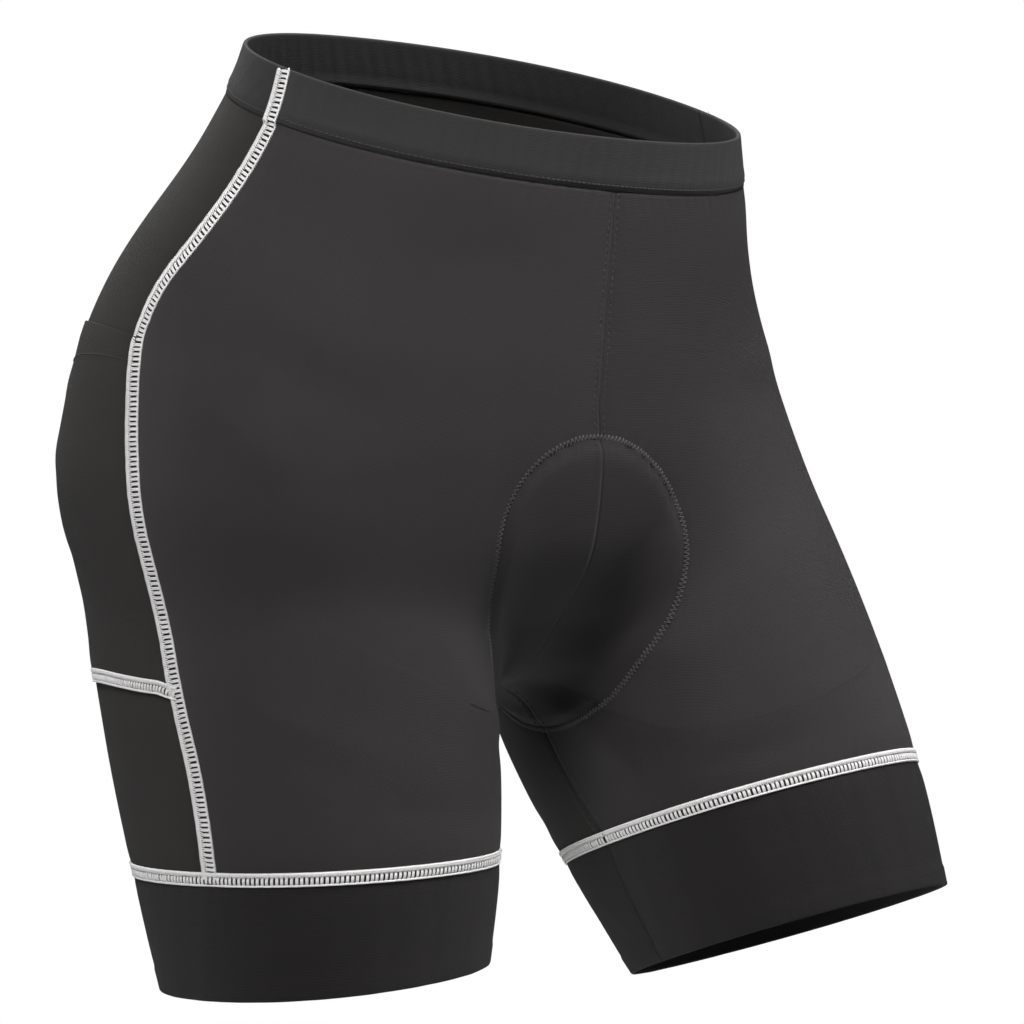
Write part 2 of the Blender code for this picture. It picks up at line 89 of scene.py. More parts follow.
Section = namedtuple("Section", "down half_width front back")
PELVIS_SECTIONS = (
    Section(-0.070, 0.126, 0.094, 0.088),
    Section(-0.012, 0.127, 0.094, 0.096),
    Section(0.028, 0.139, 0.098, 0.104),
    Section(0.068, 0.149, 0.102, 0.117),
    Section(0.108, 0.158, 0.107, 0.134),
    Section(0.148, 0.167, 0.109, 0.152),
    Section(0.188, 0.170, 0.103, 0.164),
    Section(0.228, 0.171, 0.090, 0.174),
)
ThighSection = namedtuple("ThighSection", "down outer inner front back")
THIGH_SECTIONS = (
    ThighSection(0.000, 0.082, 0.066, 0.084, 0.112),
    ThighSection(0.080, 0.087, 0.068, 0.091, 0.124),
    ThighSection(0.160, 0.088, 0.080, 0.090, 0.106),
    ThighSection(0.230, 0.083, 0.080, 0.084, 0.084),
    ThighSection(0.285, 0.074, 0.073, 0.074, 0.071),
    ThighSection(0.330, 0.067, 0.067, 0.067, 0.065),
)

Leg = namedtuple(
    "Leg", "outward hip_x hip_y hip_down lift swing hem_down gripper seam_rise hem_rise rays_back"
)
LEGS = {
    "right": Leg(
        outward=-1,
        hip_x=-0.079,
        hip_y=0.011,
        hip_down=0.138,
        lift=1.0,
        swing=-2.0,
        hem_down=0.2727,
        gripper=0.053,
        seam_rise=0.0,
        hem_rise=3.0,
        rays_back=0.000,
    ),
    "left": Leg(
        outward=1,
        hip_x=0.087,
        hip_y=0.004,
        hip_down=0.143,
        lift=17.0,
        swing=15.0,
        hem_down=0.268,
        gripper=0.0635,
        seam_rise=8.0,
        hem_rise=8.0,
        rays_back=0.022,
    ),
}

# Guides: where the rows stop being half rings of the pelvis and become rings of a thigh
HIP_ROW = 0.118
THIGH_ROW = 0.200
AXIS_BACK = 0.012
THIGH_ROW_BELOW_HIP = 0.066
CROTCH_AT = 80.0
CROTCH_LEAN = 10.5
INSEAM_AT = -2.0
RAY_SAG = 10.0

SeamAngle = namedtuple("SeamAngle", "down degrees")
SIDE_SEAM = (
    SeamAngle(-0.012, 172.5),
    SeamAngle(0.012, 171.5),
    SeamAngle(0.045, 174.0),
    SeamAngle(0.070, 177.5),
    SeamAngle(0.093, 181.5),
    SeamAngle(0.155, 181.5),
    SeamAngle(0.200, 178.0),
    SeamAngle(0.240, 176.0),
    SeamAngle(0.275, 171.0),
    SeamAngle(0.300, 167.0),
    SeamAngle(0.330, 164.5),
    SeamAngle(0.420, 168.0),
)

# Pad, flat on the crotch seam: two round ends and a narrower middle
PAD_FRONT_END = 9.0
PAD_BACK_END = 143.0
PAD_FRONT_RADIUS = 0.052
PAD_MIDDLE_HALF = 0.038
PAD_BACK_RADIUS = 0.056
PAD_CLEAR = 0.0020
PAD_RIM = 0.0020
PAD_MIDDLE = 0.0080
PAD_SLOPE = 0.026
PAD_PRESS = 0.0022
PAD_PRESS_WIDTH = 0.007

# Pocket, as shares of the rows and columns of the back panel that it lies on
POCKET_SHARE = 0.5
POCKET_BOTTOM_SHARE = 4 / 9
POCKET_CLIMB = 0.024
POCKET_HEM = 0.011
POCKET_CLOTH = 0.0007
POCKET_OVER = 0.0001
MOUTH_DROP = 0.0055
MOUTH_DROP_REACH = 0.062

# Fineness
CELL = 0.0021
EDGE_ROWS = 4
PANEL_COLUMNS = 118


def turn(axis, degrees):
    """Rotation matrices about a unit axis, one for each angle."""
    angle = np.radians(np.asarray(degrees, float))[..., None, None]
    x, y, z = axis
    cross = np.array([[0, -z, y], [z, 0, -x], [-y, x, 0]])
    return np.eye(3) + np.sin(angle) * cross + (1 - np.cos(angle)) * (cross @ cross)


def smooth(t):
    """0 to 1 with level ends."""
    t = np.clip(t, 0, 1)
    return t * t * (3 - 2 * t)


def through(table, name, at):
    """A smooth curve through one named column of a table, flat past its ends."""
    keys = np.array([row[0] for row in table])
    values = np.array([getattr(row, name) for row in table])
    slopes = np.gradient(values, keys)
    at = np.clip(at, keys[0], keys[-1])
    i = np.clip(np.searchsorted(keys, at) - 1, 0, len(keys) - 2)
    span = keys[i + 1] - keys[i]
    t = (at - keys[i]) / span
    rise = (3 - 2 * t) * t * t
    return (
        (1 - rise) * values[i]
        + rise * values[i + 1]
        + (t - 1) ** 2 * t * span * slopes[i]
        + (t - 1) * t * t * span * slopes[i + 1]
    )


PELVIS_TURN = turn((0, 1, 0), PELVIS_ROLL) @ turn((1, 0, 0), PELVIS_PITCH)


def hip_of(leg):
    return PELVIS_TURN @ np.array([leg.hip_x, leg.hip_y, -leg.hip_down])


def thigh_turn(leg):
    return turn((0, 1, 0), -leg.outward * leg.swing) @ turn((1, 0, 0), -leg.lift)


def hem_row(leg):
    return THIGH_ROW + leg.hem_down - THIGH_ROW_BELOW_HIP


def gripper_row(leg):
    return hem_row(leg) - leg.gripper


def ring_depth(local, half_width, front, back, past_end):
    """How far outside a rounded stack of sections a point is, near enough to a distance."""
    depth = np.where(local[..., 1] < 0, front, back)
    across = np.abs(local[..., 0] / half_width) ** SECTION_POWER
    along = np.abs(local[..., 1] / depth) ** SECTION_POWER
    ring = (across + along) ** (1 / SECTION_POWER)
    return (np.hypot(ring, past_end) - 1) * (half_width + front) / 2


def pelvis_depth(points):
    local = points @ PELVIS_TURN
    down = -local[..., 2]
    half_width = through(PELVIS_SECTIONS, "half_width", down)
    front, back = (through(PELVIS_SECTIONS, name, down) for name in ("front", "back"))
    return ring_depth(local, half_width, front, back, np.maximum(down - SEAT_FROM, 0) / SEAT_DEPTH)


def thigh_depth(points, leg):
    local = (points - hip_of(leg)) @ thigh_turn(leg)
    down = -local[..., 2]
    outer, inner = (through(THIGH_SECTIONS, name, down) for name in ("outer", "inner"))
    front, back = (through(THIGH_SECTIONS, name, down) for name in ("front", "back"))
    half_width = inner + (outer - inner) * smooth(0.5 + local[..., 0] * leg.outward / SIDE_BLEND)
    return ring_depth(local, half_width, front, back, np.maximum(-down, 0) / THIGH_TOP)


def union(a, b, blend):
    """Smooth union of two depths."""
    share = np.clip(0.5 + 0.5 * (b - a) / blend, 0, 1)
    return b + (a - b) * share - blend * share * (1 - share)


def figure_depth(points):
    thighs = union(thigh_depth(points, LEGS["right"]), thigh_depth(points, LEGS["left"]), CROTCH_BLEND)
    return union(thighs, pelvis_depth(points), PELVIS_BLEND)


def leave(origins, directions, reach=0.40, steps=50, halvings=26):
    """Where rays from inside the figure come out of it."""
    origins, directions = np.broadcast_arrays(origins, directions)
    inside = np.zeros(origins.shape[:-1])
    outside = np.full(inside.shape, reach)
    found = np.zeros(inside.shape, bool)
    for distance in np.linspace(reach / steps, reach, steps):
        is_out = figure_depth(origins + directions * distance) > 0
        outside = np.where(is_out & ~found, distance, outside)
        found |= is_out
        inside = np.where(found, inside, distance)
    for _ in range(halvings):
        middle = (inside + outside) / 2
        is_out = figure_depth(origins + directions * middle[..., None]) > 0
        inside = np.where(is_out, inside, middle)
        outside = np.where(is_out, middle, outside)
    return origins + directions * outside[..., None]


def slopes_of(points, step=0.0006):
    moves = step * np.eye(3)
    rises = [figure_depth(points + move) - figure_depth(points - move) for move in moves]
    return np.stack(rises, axis=-1) / (2 * step)


def outward_normals(points):
    slopes = slopes_of(points)
    return slopes / np.linalg.norm(slopes, axis=-1, keepdims=True)


def onto_skin(points):
    """Points near the skin, moved onto it."""
    for _ in range(3):
        slopes = slopes_of(points)
        points = points - slopes * (figure_depth(points) / (slopes**2).sum(-1))[..., None]
    return points


# The crotch seam: 0 degrees faces front, 90 down, 180 back. It leans to the middle between the thighs.
HIP_CENTRE = PELVIS_TURN @ np.array([0, AXIS_BACK, -HIP_ROW])
CROTCH_ANGLES = np.linspace(0, 180, 91)


def crotch_directions(degrees):
    angle = np.radians(degrees)
    local = np.stack([0 * angle, -np.cos(angle), -np.sin(angle)], -1)
    return local @ turn((0, 1, 0), -CROTCH_LEAN).T @ PELVIS_TURN.T


CROTCH_CURVE = leave(HIP_CENTRE, crotch_directions(CROTCH_ANGLES))
CROTCH_LENGTH = np.concatenate([[0], np.cumsum(np.linalg.norm(np.diff(CROTCH_CURVE, axis=0), axis=1))])


def crotch_point(degrees):
    return np.stack([np.interp(degrees, CROTCH_ANGLES, CROTCH_CURVE[:, k]) for k in range(3)], -1)


def along_crotch(degrees):
    """Length along the crotch seam at an angle."""
    return np.interp(degrees, CROTCH_ANGLES, CROTCH_LENGTH)


def pad_inset(along, across):
    """How far inside the pad's outline a place is, from lengths along the crotch seam and across it."""
    front = along_crotch(PAD_FRONT_END) + PAD_FRONT_RADIUS
    back = along_crotch(PAD_BACK_END) - PAD_BACK_RADIUS
    middle = (front + back) / 2
    to_front = smooth((middle - along) / (middle - front))
    to_back = smooth((along - middle) / (back - middle))
    half = PAD_MIDDLE_HALF + (PAD_FRONT_RADIUS - PAD_MIDDLE_HALF) * to_front
    half = half + (PAD_BACK_RADIUS - PAD_MIDDLE_HALF) * to_back
    past = np.where(along < front, along - front, np.maximum(along - back, 0))
    return half - np.hypot(across, past)


def walk(starts, directions, lengths):
    """Points reached by walking along the skin from each start. Rows of the answer follow the lengths."""
    normals = outward_normals(starts)
    points, reached, so_far = starts, [], 0.0
    for length in lengths:
        step = length - so_far
        so_far = length
        directions = directions - normals * (directions * normals).sum(-1, keepdims=True)
        directions = directions / np.linalg.norm(directions, axis=-1, keepdims=True)
        points = onto_skin(points + directions * step)
        normals = outward_normals(points)
        reached.append(points)
    return np.stack(reached)


def across_crotch(degrees, lengths):
    """The skin beside the crotch seam: points at lengths to both sides, from right to left."""
    starts = crotch_point(degrees)
    left = np.broadcast_to(PELVIS_TURN[:, 0], starts.shape)
    lengths = np.asarray(lengths)
    to_left = walk(starts, left, lengths)
    to_right = walk(starts, -left, lengths)
    return np.concatenate([to_right[::-1], starts[None], to_left])


def pad_cells():
    """Places spread over the crotch, and how far inside the pad's outline each one is."""
    degrees = np.linspace(0, PAD_BACK_END + 12, 84)
    lengths = np.linspace(0.003, 0.084, 28)
    points = across_crotch(degrees, lengths)
    across = np.concatenate([-lengths[::-1], [0], lengths])
    inset = pad_inset(along_crotch(degrees)[None], across[:, None])
    return points.reshape(-1, 3), inset.reshape(-1)


PAD_POINTS, PAD_INSETS = pad_cells()


def pad_depth(points):
    """How far inside the pad's outline points of the skin are; well outside it, a large negative length."""
    flat = points.reshape(-1, 3)
    depth = np.full(len(flat), -0.1)
    low, high = PAD_POINTS.min(axis=0) - 0.01, PAD_POINTS.max(axis=0) + 0.01
    near = np.nonzero(((flat > low) & (flat < high)).all(axis=1))[0]
    for chunk in np.array_split(near, len(near) // 400 + 1):
        gap = np.linalg.norm(flat[chunk, None] - PAD_POINTS[None], axis=-1)
        nearest = np.argpartition(gap, 4, axis=1)[:, :4]
        distance = np.take_along_axis(gap, nearest, axis=1)
        weight = 1 / (distance + 0.0003) ** 2
        value = (PAD_INSETS[nearest] * weight).sum(axis=1) / weight.sum(axis=1)
        depth[chunk] = np.where(distance.min(axis=1) < 0.008, value, -0.1)
    return depth.reshape(points.shape[:-1])


def axis_point(leg, down):
    """Where the rays of a row start."""
    thigh = thigh_turn(leg)
    thigh_start = hip_of(leg) - thigh[:, 2] * THIGH_ROW_BELOW_HIP
    blend = np.clip((down - HIP_ROW) / (THIGH_ROW - HIP_ROW), 0, 1)
    on_pelvis = np.minimum(down, HIP_ROW)[..., None] * -PELVIS_TURN[:, 2] + AXIS_BACK * PELVIS_TURN[:, 1]
    past_thigh = np.maximum(down - THIGH_ROW, 0)[..., None] * -thigh[:, 2]
    back = leg.rays_back * blend * (1 - smooth((down - THIGH_ROW) / (gripper_row(leg) - THIGH_ROW)))
    on_thigh = (thigh_start - HIP_CENTRE) * blend[..., None] + past_thigh
    return on_pelvis + on_thigh + back[..., None] * thigh[:, 1]


def row_frame(leg, down):
    """The frame of a row's rays: the waist's tilt, then the pelvis, then the thigh, then the hem's tilt."""
    relative = PELVIS_TURN.T @ thigh_turn(leg)
    angle = np.degrees(np.arccos((np.trace(relative) - 1) / 2))
    twist = relative - relative.T
    axis = np.array([twist[2, 1], twist[0, 2], twist[1, 0]])
    blend = smooth((down - HIP_ROW) / (gripper_row(leg) - HIP_ROW))
    at_waist = 1 - smooth(down / HIP_ROW)
    settled = smooth((down - THIGH_ROW) / (gripper_row(leg) - THIGH_ROW))
    down_gripper = np.clip((down - gripper_row(leg)) / leg.gripper, 0, 1)
    hem_rise = leg.seam_rise + (leg.hem_rise - leg.seam_rise) * down_gripper
    waist_tilt = turn((0, 1, 0), WAIST_LEFT_DROP * at_waist) @ turn((1, 0, 0), WAIST_BACK_RISE * at_waist)
    frame = PELVIS_TURN @ waist_tilt
    frame = frame @ turn(axis / np.linalg.norm(axis), angle * blend)
    return frame @ turn((0, 1, 0), leg.outward * hem_rise * settled)


def bearing_direction(leg, bearing, dip):
    """A ray in its row's frame. Bearing 0 faces the other leg, 90 the front, 180 the side."""
    bearing, dip = np.radians(bearing), np.radians(dip)
    level = np.cos(dip)
    return np.stack([-leg.outward * np.cos(bearing) * level, -np.sin(bearing) * level, -np.sin(dip)], -1)


def inseam_end(leg):
    """Where the inseam meets the gripper."""
    down = np.array(gripper_row(leg))
    direction = row_frame(leg, down) @ bearing_direction(leg, INSEAM_AT, 0.0)
    return leave(axis_point(leg, down), direction)


def guide(leg, down):
    """For each row: the rays' origin, its frame, and the bearing and dip of its front and back ends."""
    down = np.asarray(down, float)
    blend = np.clip((down - HIP_ROW) / (THIGH_ROW - HIP_ROW), 0, 1)
    along_inseam = np.clip((down - THIGH_ROW) / (gripper_row(leg) - THIGH_ROW), 0, 1)[..., None]
    down_inseam = (inseam_end(leg) - crotch_point(CROTCH_AT)) * along_inseam
    origin, frame = axis_point(leg, down), row_frame(leg, down)
    bearings, dips = [], []
    for start, middle in ((0.0, 90.0), (180.0, 270.0)):
        target = crotch_point(start + (CROTCH_AT - start) * blend) + down_inseam
        local = np.einsum("...ji,...j->...i", frame, target - origin)
        bearing = np.degrees(np.arctan2(-local[..., 1], -leg.outward * local[..., 0]))
        dip = np.degrees(np.arctan2(-local[..., 2], np.hypot(local[..., 0], local[..., 1])))
        end = INSEAM_AT + 2 * start
        bearing = bearing + 360 * np.round((end + 45 - bearing) / 360) if not start else bearing % 360
        bearing = np.where(bearing < 180, bearing + 360, bearing) if start else bearing
        bearings.append(np.where(down <= HIP_ROW, middle, np.where(along_inseam[..., 0] < 1, bearing, end)))
        dips.append(np.where((down <= HIP_ROW) | (along_inseam[..., 0] >= 1), 0.0, dip))
    return origin, frame, bearings, dips


def seam_bearing(down):
    return through(SIDE_SEAM, "degrees", down)


def skin(leg, down, bearing_share, panel):
    """Points of the skin on a panel: share 0 to 1 runs from the front seam to the side seam, or on back."""
    origin, frame, bearings, dips = guide(leg, down)
    side = seam_bearing(down)
    if panel == "front":
        bearing = bearings[0] + (side - bearings[0]) * bearing_share
    else:
        bearing = side + (bearings[1] - side) * bearing_share
    front_share = np.clip((180 - bearing) / (180 - bearings[0]), 0, 1)
    back_share = np.clip((bearing - 180) / (bearings[1] - 180), 0, 1)
    sag = RAY_SAG * np.sin(np.pi * np.maximum(front_share, back_share))
    sag = sag * smooth((down - HIP_ROW) / (THIGH_ROW - HIP_ROW))
    sag = sag * (1 - smooth((down - THIGH_ROW) / (gripper_row(leg) - THIGH_ROW)))
    dip = dips[0] * smooth(front_share) + dips[1] * smooth(back_share) + sag
    return leave(origin, np.einsum("...ij,...j->...i", frame, bearing_direction(leg, bearing, dip)))


# Places on the cut
def pocket_bottom(leg):
    return THIGH_ROW + (gripper_row(leg) - THIGH_ROW) * POCKET_BOTTOM_SHARE


def climb(down, leg, bearing_share):
    """Rows of the back panel drop behind the side seam at the pocket's mouth and climb at its bottom edge."""
    low = gripper_row(leg)
    at_bottom = pocket_bottom(leg)
    to_bottom = smooth((down - HIP_ROW) / (at_bottom - HIP_ROW))
    up = np.where(down < at_bottom, to_bottom, smooth((low - down) / (low - at_bottom)))
    past_mouth = 1 - smooth((down - HIP_ROW) / MOUTH_DROP_REACH)
    to_mouth = smooth((down - WAISTBAND_HEIGHT) / (HIP_ROW - WAISTBAND_HEIGHT))
    drop = np.where(down < HIP_ROW, to_mouth, past_mouth)
    along = np.minimum(bearing_share / POCKET_SHARE, (1 - bearing_share) / (1 - POCKET_SHARE))
    return (POCKET_CLIMB * up - MOUTH_DROP * drop) * smooth(along)


def place(leg, down, share, panel):
    """Skin points from rows of the cut and shares counted from the side seam."""
    if panel == "back":
        return skin(leg, down - climb(down, leg, share), share, "back")
    return skin(leg, down, 1 - share, "front")


def rounded(count_at_edges, length, radius, first=True, last=True):
    """Places along a length, with extra ones where an edge is rounded."""
    inner = np.linspace(0, length, max(int(length / CELL), 2) + 1)
    turn_in = radius * (1 - np.cos(np.linspace(0, np.pi / 2, count_at_edges + 1)))
    kept = inner[(inner > radius * 1.6 * first) & (inner < length - radius * 1.6 * last)]
    start = turn_in if first else [0.0]
    end = length - turn_in[::-1] if last else [length]
    return np.concatenate([start, kept, end])


def edge_share(distance, radius):
    """0 at a rounded edge and 1 past its radius, along a quarter circle."""
    t = np.clip(distance / radius, 0, 1)
    return np.sqrt(np.maximum(1 - (1 - t) ** 2, 0))


def hum(values, wave, phase=0.0):
    """An uneven ripple between -1 and 1."""
    x = values / wave
    return (
        np.sin(2 * np.pi * (x + phase))
        + 0.6 * np.sin(2 * np.pi * (0.61 * x + 0.37 + 2 * phase))
        + 0.4 * np.sin(2 * np.pi * (1.73 * x + 0.11 - phase))
    ) / 2.0


# Creases: soft troughs and ridges between two places on a panel, with shares counted from the side seam
Crease = namedtuple("Crease", "panel share down end_share end_down bow width height")
CREASES = {
    "right": (
        Crease("front", 0.99, 0.205, 0.55, 0.160, 0.008, 0.0090, -0.0011),
        Crease("front", 0.98, 0.215, 0.50, 0.205, 0.006, 0.0080, 0.0008),
        Crease("front", 0.96, 0.235, 0.52, 0.245, -0.004, 0.0080, -0.0008),
        Crease("front", 0.20, 0.100, 0.62, 0.128, 0.010, 0.0130, -0.0010),
        Crease("front", 0.08, 0.120, 0.45, 0.150, 0.008, 0.0110, 0.0007),
        Crease("front", 0.75, 0.040, 0.45, 0.060, 0.004, 0.0080, -0.0005),
        Crease("front", 0.30, 0.030, 0.42, 0.070, 0.003, 0.0060, 0.0004),
        Crease("front", 0.15, 0.262, 0.55, 0.276, 0.004, 0.0100, 0.0006),
        Crease("front", 0.30, 0.312, 0.75, 0.322, -0.003, 0.0080, -0.0005),
        Crease("back", 0.95, 0.215, 0.40, 0.228, 0.010, 0.0100, -0.0016),
        Crease("back", 0.90, 0.240, 0.45, 0.262, 0.008, 0.0090, 0.0010),
        Crease("back", 0.97, 0.060, 0.55, 0.100, 0.006, 0.0110, 0.0006),
        Crease("back", 0.62, 0.310, 0.95, 0.300, 0.004, 0.0080, -0.0007),
        Crease("back", 0.75, 0.036, 0.55, 0.062, 0.004, 0.0070, -0.0005),
    ),
    "left": (
        Crease("front", 0.99, 0.165, 0.62, 0.105, 0.010, 0.0110, -0.0016),
        Crease("front", 0.98, 0.185, 0.55, 0.140, 0.008, 0.0095, 0.0011),
        Crease("front", 0.97, 0.210, 0.60, 0.180, 0.006, 0.0085, -0.0010),
        Crease("front", 0.95, 0.235, 0.58, 0.225, 0.005, 0.0080, 0.0007),
        Crease("front", 0.50, 0.075, 0.15, 0.058, 0.006, 0.0150, -0.0007),
        Crease("front", 0.55, 0.100, 0.10, 0.085, 0.006, 0.0100, 0.0008),
        Crease("front", 0.20, 0.270, 0.60, 0.262, 0.004, 0.0100, 0.0006),
        Crease("front", 0.75, 0.310, 0.35, 0.318, -0.003, 0.0080, -0.0006),
        Crease("back", 0.96, 0.190, 0.45, 0.150, 0.012, 0.0120, -0.0012),
        Crease("back", 0.92, 0.215, 0.48, 0.185, 0.010, 0.0100, 0.0010),
        Crease("back", 0.90, 0.255, 0.55, 0.240, 0.006, 0.0090, -0.0008),
        Crease("back", 0.97, 0.070, 0.52, 0.090, 0.006, 0.0110, 0.0005),
        Crease("back", 0.60, 0.320, 0.95, 0.300, 0.004, 0.0080, -0.0007),
    ),
}
CREASE_STEPS = 26


def crease_lines():
    """Each crease as a line of places on the skin, with its depth along it."""
    lines = []
    for leg_name, creases in CREASES.items():
        for crease in creases:
            t = np.linspace(0, 1, CREASE_STEPS)
            down = crease.down + (crease.end_down - crease.down) * t + crease.bow * np.sin(np.pi * t)
            share = crease.share + (crease.end_share - crease.share) * t
            line = place(LEGS[leg_name], down, share, crease.panel)
            fade = smooth(t / 0.25) * smooth((1 - t) / 0.55)
            lines.append((line, fade * crease.height, crease.width * (0.75 + 0.5 * t)))
    return lines


CREASE_LINES = crease_lines()


def creased(points):
    """How far the creases lift or sink each point."""
    height = np.zeros(points.shape[:-1])
    for line, depths, widths in CREASE_LINES:
        reach = 3.4 * widths.max()
        low, high = line.min(axis=0) - reach, line.max(axis=0) + reach
        near = ((points > low) & (points < high)).all(axis=-1)
        if not near.any():
            continue
        gap = np.linalg.norm(points[near][:, None] - line, axis=-1)
        weight = np.exp(-((gap / widths) ** 2))
        step = np.linalg.norm(np.diff(line, axis=0), axis=1).mean()
        height[near] += (weight * depths * step / (widths * np.sqrt(np.pi))).sum(axis=1)
    return height


# Relief: the pad's groove, and how cloth sinks and puckers at seams. A panel's share is of the full pull
MEETING_GAP = 0.00004
PAD_GROOVE = 0.0007
PAD_GROOVE_OUT = 0.0022
PAD_GROOVE_WIDTH = 0.0016
SEAM_SINK = 0.0006
SEAM_SINK_WIDTH = 0.0070
PUCKER = 0.00022
PUCKER_WAVE = 0.0065
PUCKER_REACH = 0.011
CENTRE_SEAM_SHARE = 0.3
WAIST_SEAM_SHARE = 0.7
OFF_PAD_WIDTH = 0.012

# Pocket: slack at its mouth, a flat hem and a stitched rear edge
POCKET_WIDTH = 0.105
POCKET_GAPE = 0.0002
POCKET_GAPE_REACH = 0.020
POCKET_HEM_RISE = 0.00015
POCKET_HEM_STEP = 0.001
POCKET_RIPPLE = 0.0004
POCKET_RIPPLE_WAVE = 0.034
POCKET_EDGE_SINK = 0.0002
POCKET_EDGE_IN = 0.0035
POCKET_EDGE_WIDTH = 0.0012

# Gripper: a folded hem and a slight ripple
GRIPPER_HEM = 0.0105
GRIPPER_HEM_RISE = 0.0004
GRIPPER_HEM_STEP = 0.0012
GRIPPER_RIPPLE = 0.00015
GRIPPER_RIPPLE_WAVE = 0.021
GRIPPER_RIPPLE_FROM = 0.01

# Waistband: from its low edge up, a sunk edge, a stitched groove and a raised row
BAND_LOW_SINK = 0.0006
BAND_LOW_WIDTH = 0.0012
BAND_GROOVE = 0.0005
BAND_GROOVE_AT = 0.0028
BAND_GROOVE_WIDTH = 0.0011
BAND_RISE = 0.00035
BAND_RISE_AT = 0.0052
BAND_RISE_WIDTH = 0.0016
BAND_RIPPLE = 0.00016
BAND_RIPPLE_WAVE = 0.0085
BAND_RIPPLE_FROM = 0.004

# Pad: a flat rim, a stitched groove inside it and a channel along the middle
PAD_GRID_ROWS = 84
PAD_GRID_COLUMNS = 56
PAD_RIM_WIDTH = 0.004
PAD_RIM_GROOVE = 0.0007
PAD_RIM_GROOVE_IN = 0.0045
PAD_RIM_GROOVE_WIDTH = 0.0012
PAD_CHANNEL = 0.0030
PAD_CHANNEL_HALF = 0.0045
PAD_CHANNEL_FROM = 0.012
PAD_CHANNEL_EASE = 0.01
PAD_TIP_HALF = 0.010


def running(points, axis):
    """Lengths along the rows or columns of a grid."""
    steps = np.linalg.norm(np.diff(points, axis=axis), axis=-1)
    start = np.zeros_like(np.take(steps, [0], axis=axis))
    return np.cumsum(np.concatenate([start, steps], axis=axis), axis=axis)


def pressed(points):
    """The pad seen through the cloth: a flat rise with a fine groove round it."""
    depth = pad_depth(points)
    groove = np.exp(-(((depth + PAD_GROOVE_OUT) / PAD_GROOVE_WIDTH) ** 2))
    return PAD_PRESS * smooth(0.5 + depth / PAD_PRESS_WIDTH) - PAD_GROOVE * groove


def seam_pull(distance, along, phase=0.0):
    """Cloth beside a seam sinks a little and puckers."""
    sink = -SEAM_SINK * np.exp(-((distance / SEAM_SINK_WIDTH) ** 2))
    return sink + PUCKER * hum(along, PUCKER_WAVE, phase) * np.exp(-distance / PUCKER_REACH)


def grid_rows(start, end, radius, first, last):
    """Rows of a strip between two rows of the cut."""
    return start + rounded(EDGE_ROWS, end - start, radius, first, last)


def face_grid(rows, columns, flip):
    """Four-sided faces between neighbours of a grid."""
    index = np.arange(rows * columns).reshape(rows, columns)
    quads = np.stack([index[:-1, :-1], index[1:, :-1], index[1:, 1:], index[:-1, 1:]], -1).reshape(-1, 4)
    return quads[:, ::-1] if flip else quads


def shell(name, outer, normals, thickness, look, flip, row_share, column_share, cut):
    """A closed thin shell between an outer grid and one under it, pinched to round its edges."""
    share = (row_share[:, None] * column_share[None])[..., None]
    top = outer - normals * (thickness / 2 * (1 - share))
    under = outer - normals * (thickness / 2 * (1 + share))
    return closed_piece(name, top, under, look, flip, cut)


def closed_piece(name, top, under, look, flip, cut):
    """A closed mesh between two grids of points, with its places on the flat cut."""
    rows, columns = top.shape[:2]
    layer = rows * columns
    index = np.arange(layer).reshape(rows, columns)
    rim = np.concatenate([index[0, :-1], index[:-1, -1], index[-1, :0:-1], index[:0:-1, 0]])
    after = np.roll(rim, -1)
    sides = np.stack([rim, after, after + layer, rim + layer], -1)
    if flip:
        sides = sides[:, ::-1]
    faces = [face_grid(rows, columns, flip), face_grid(rows, columns, not flip) + layer, sides]
    points = np.concatenate([top.reshape(-1, 3), under.reshape(-1, 3)])
    flat = np.concatenate([cut.reshape(-1, 2), cut.reshape(-1, 2)])
    return mesh_piece(name, points, np.concatenate(faces), look, flat)


def mesh_piece(name, points, faces, look, flat=None):
    """An object that rides on the shorts' only body."""
    faces = np.asarray(faces)
    sides = faces.shape[1]
    mesh = bpy.data.meshes.new(name)
    mesh.vertices.add(len(points))
    mesh.vertices.foreach_set("co", np.asarray(points, np.float32).ravel())
    mesh.loops.add(faces.size)
    mesh.loops.foreach_set("vertex_index", faces.ravel().astype(np.int32))
    mesh.polygons.add(len(faces))
    mesh.polygons.foreach_set("loop_start", np.arange(0, faces.size, sides, dtype=np.int32))
    mesh.polygons.foreach_set("loop_total", np.full(len(faces), sides, np.int32))
    mesh.polygons.foreach_set("use_smooth", np.ones(len(faces), bool))
    mesh.update(calc_edges=True)
    if flat is not None:
        layer = mesh.uv_layers.new(name="cut")
        layer.data.foreach_set("uv", np.asarray(flat, np.float32)[faces.ravel()].ravel())
    mesh.materials.append(look)
    piece = bpy.data.objects.new(name, mesh)
    bpy.context.scene.collection.objects.link(piece)
    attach(piece, "root")
    return piece


def cloth_piece(node, grids, thickness, slot, flip, edges):
    """A cloth shell in place of a solid. Edges hold the rounding of its rows and of its columns."""
    outer, normals, cut = grids
    piece = shell(f"{node}_cloth", outer, normals, thickness, knits[slot], flip, *edges, cut)
    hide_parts(node)


def narrowed(points, edges):
    """Pulls the outer columns of a grid in by half the gap that neighbours keep."""
    for edge, inner in edges:
        into = points[:, inner] - points[:, edge]
        points[:, edge] += MEETING_GAP / 2 * into / np.linalg.norm(into, axis=-1, keepdims=True)
    return points


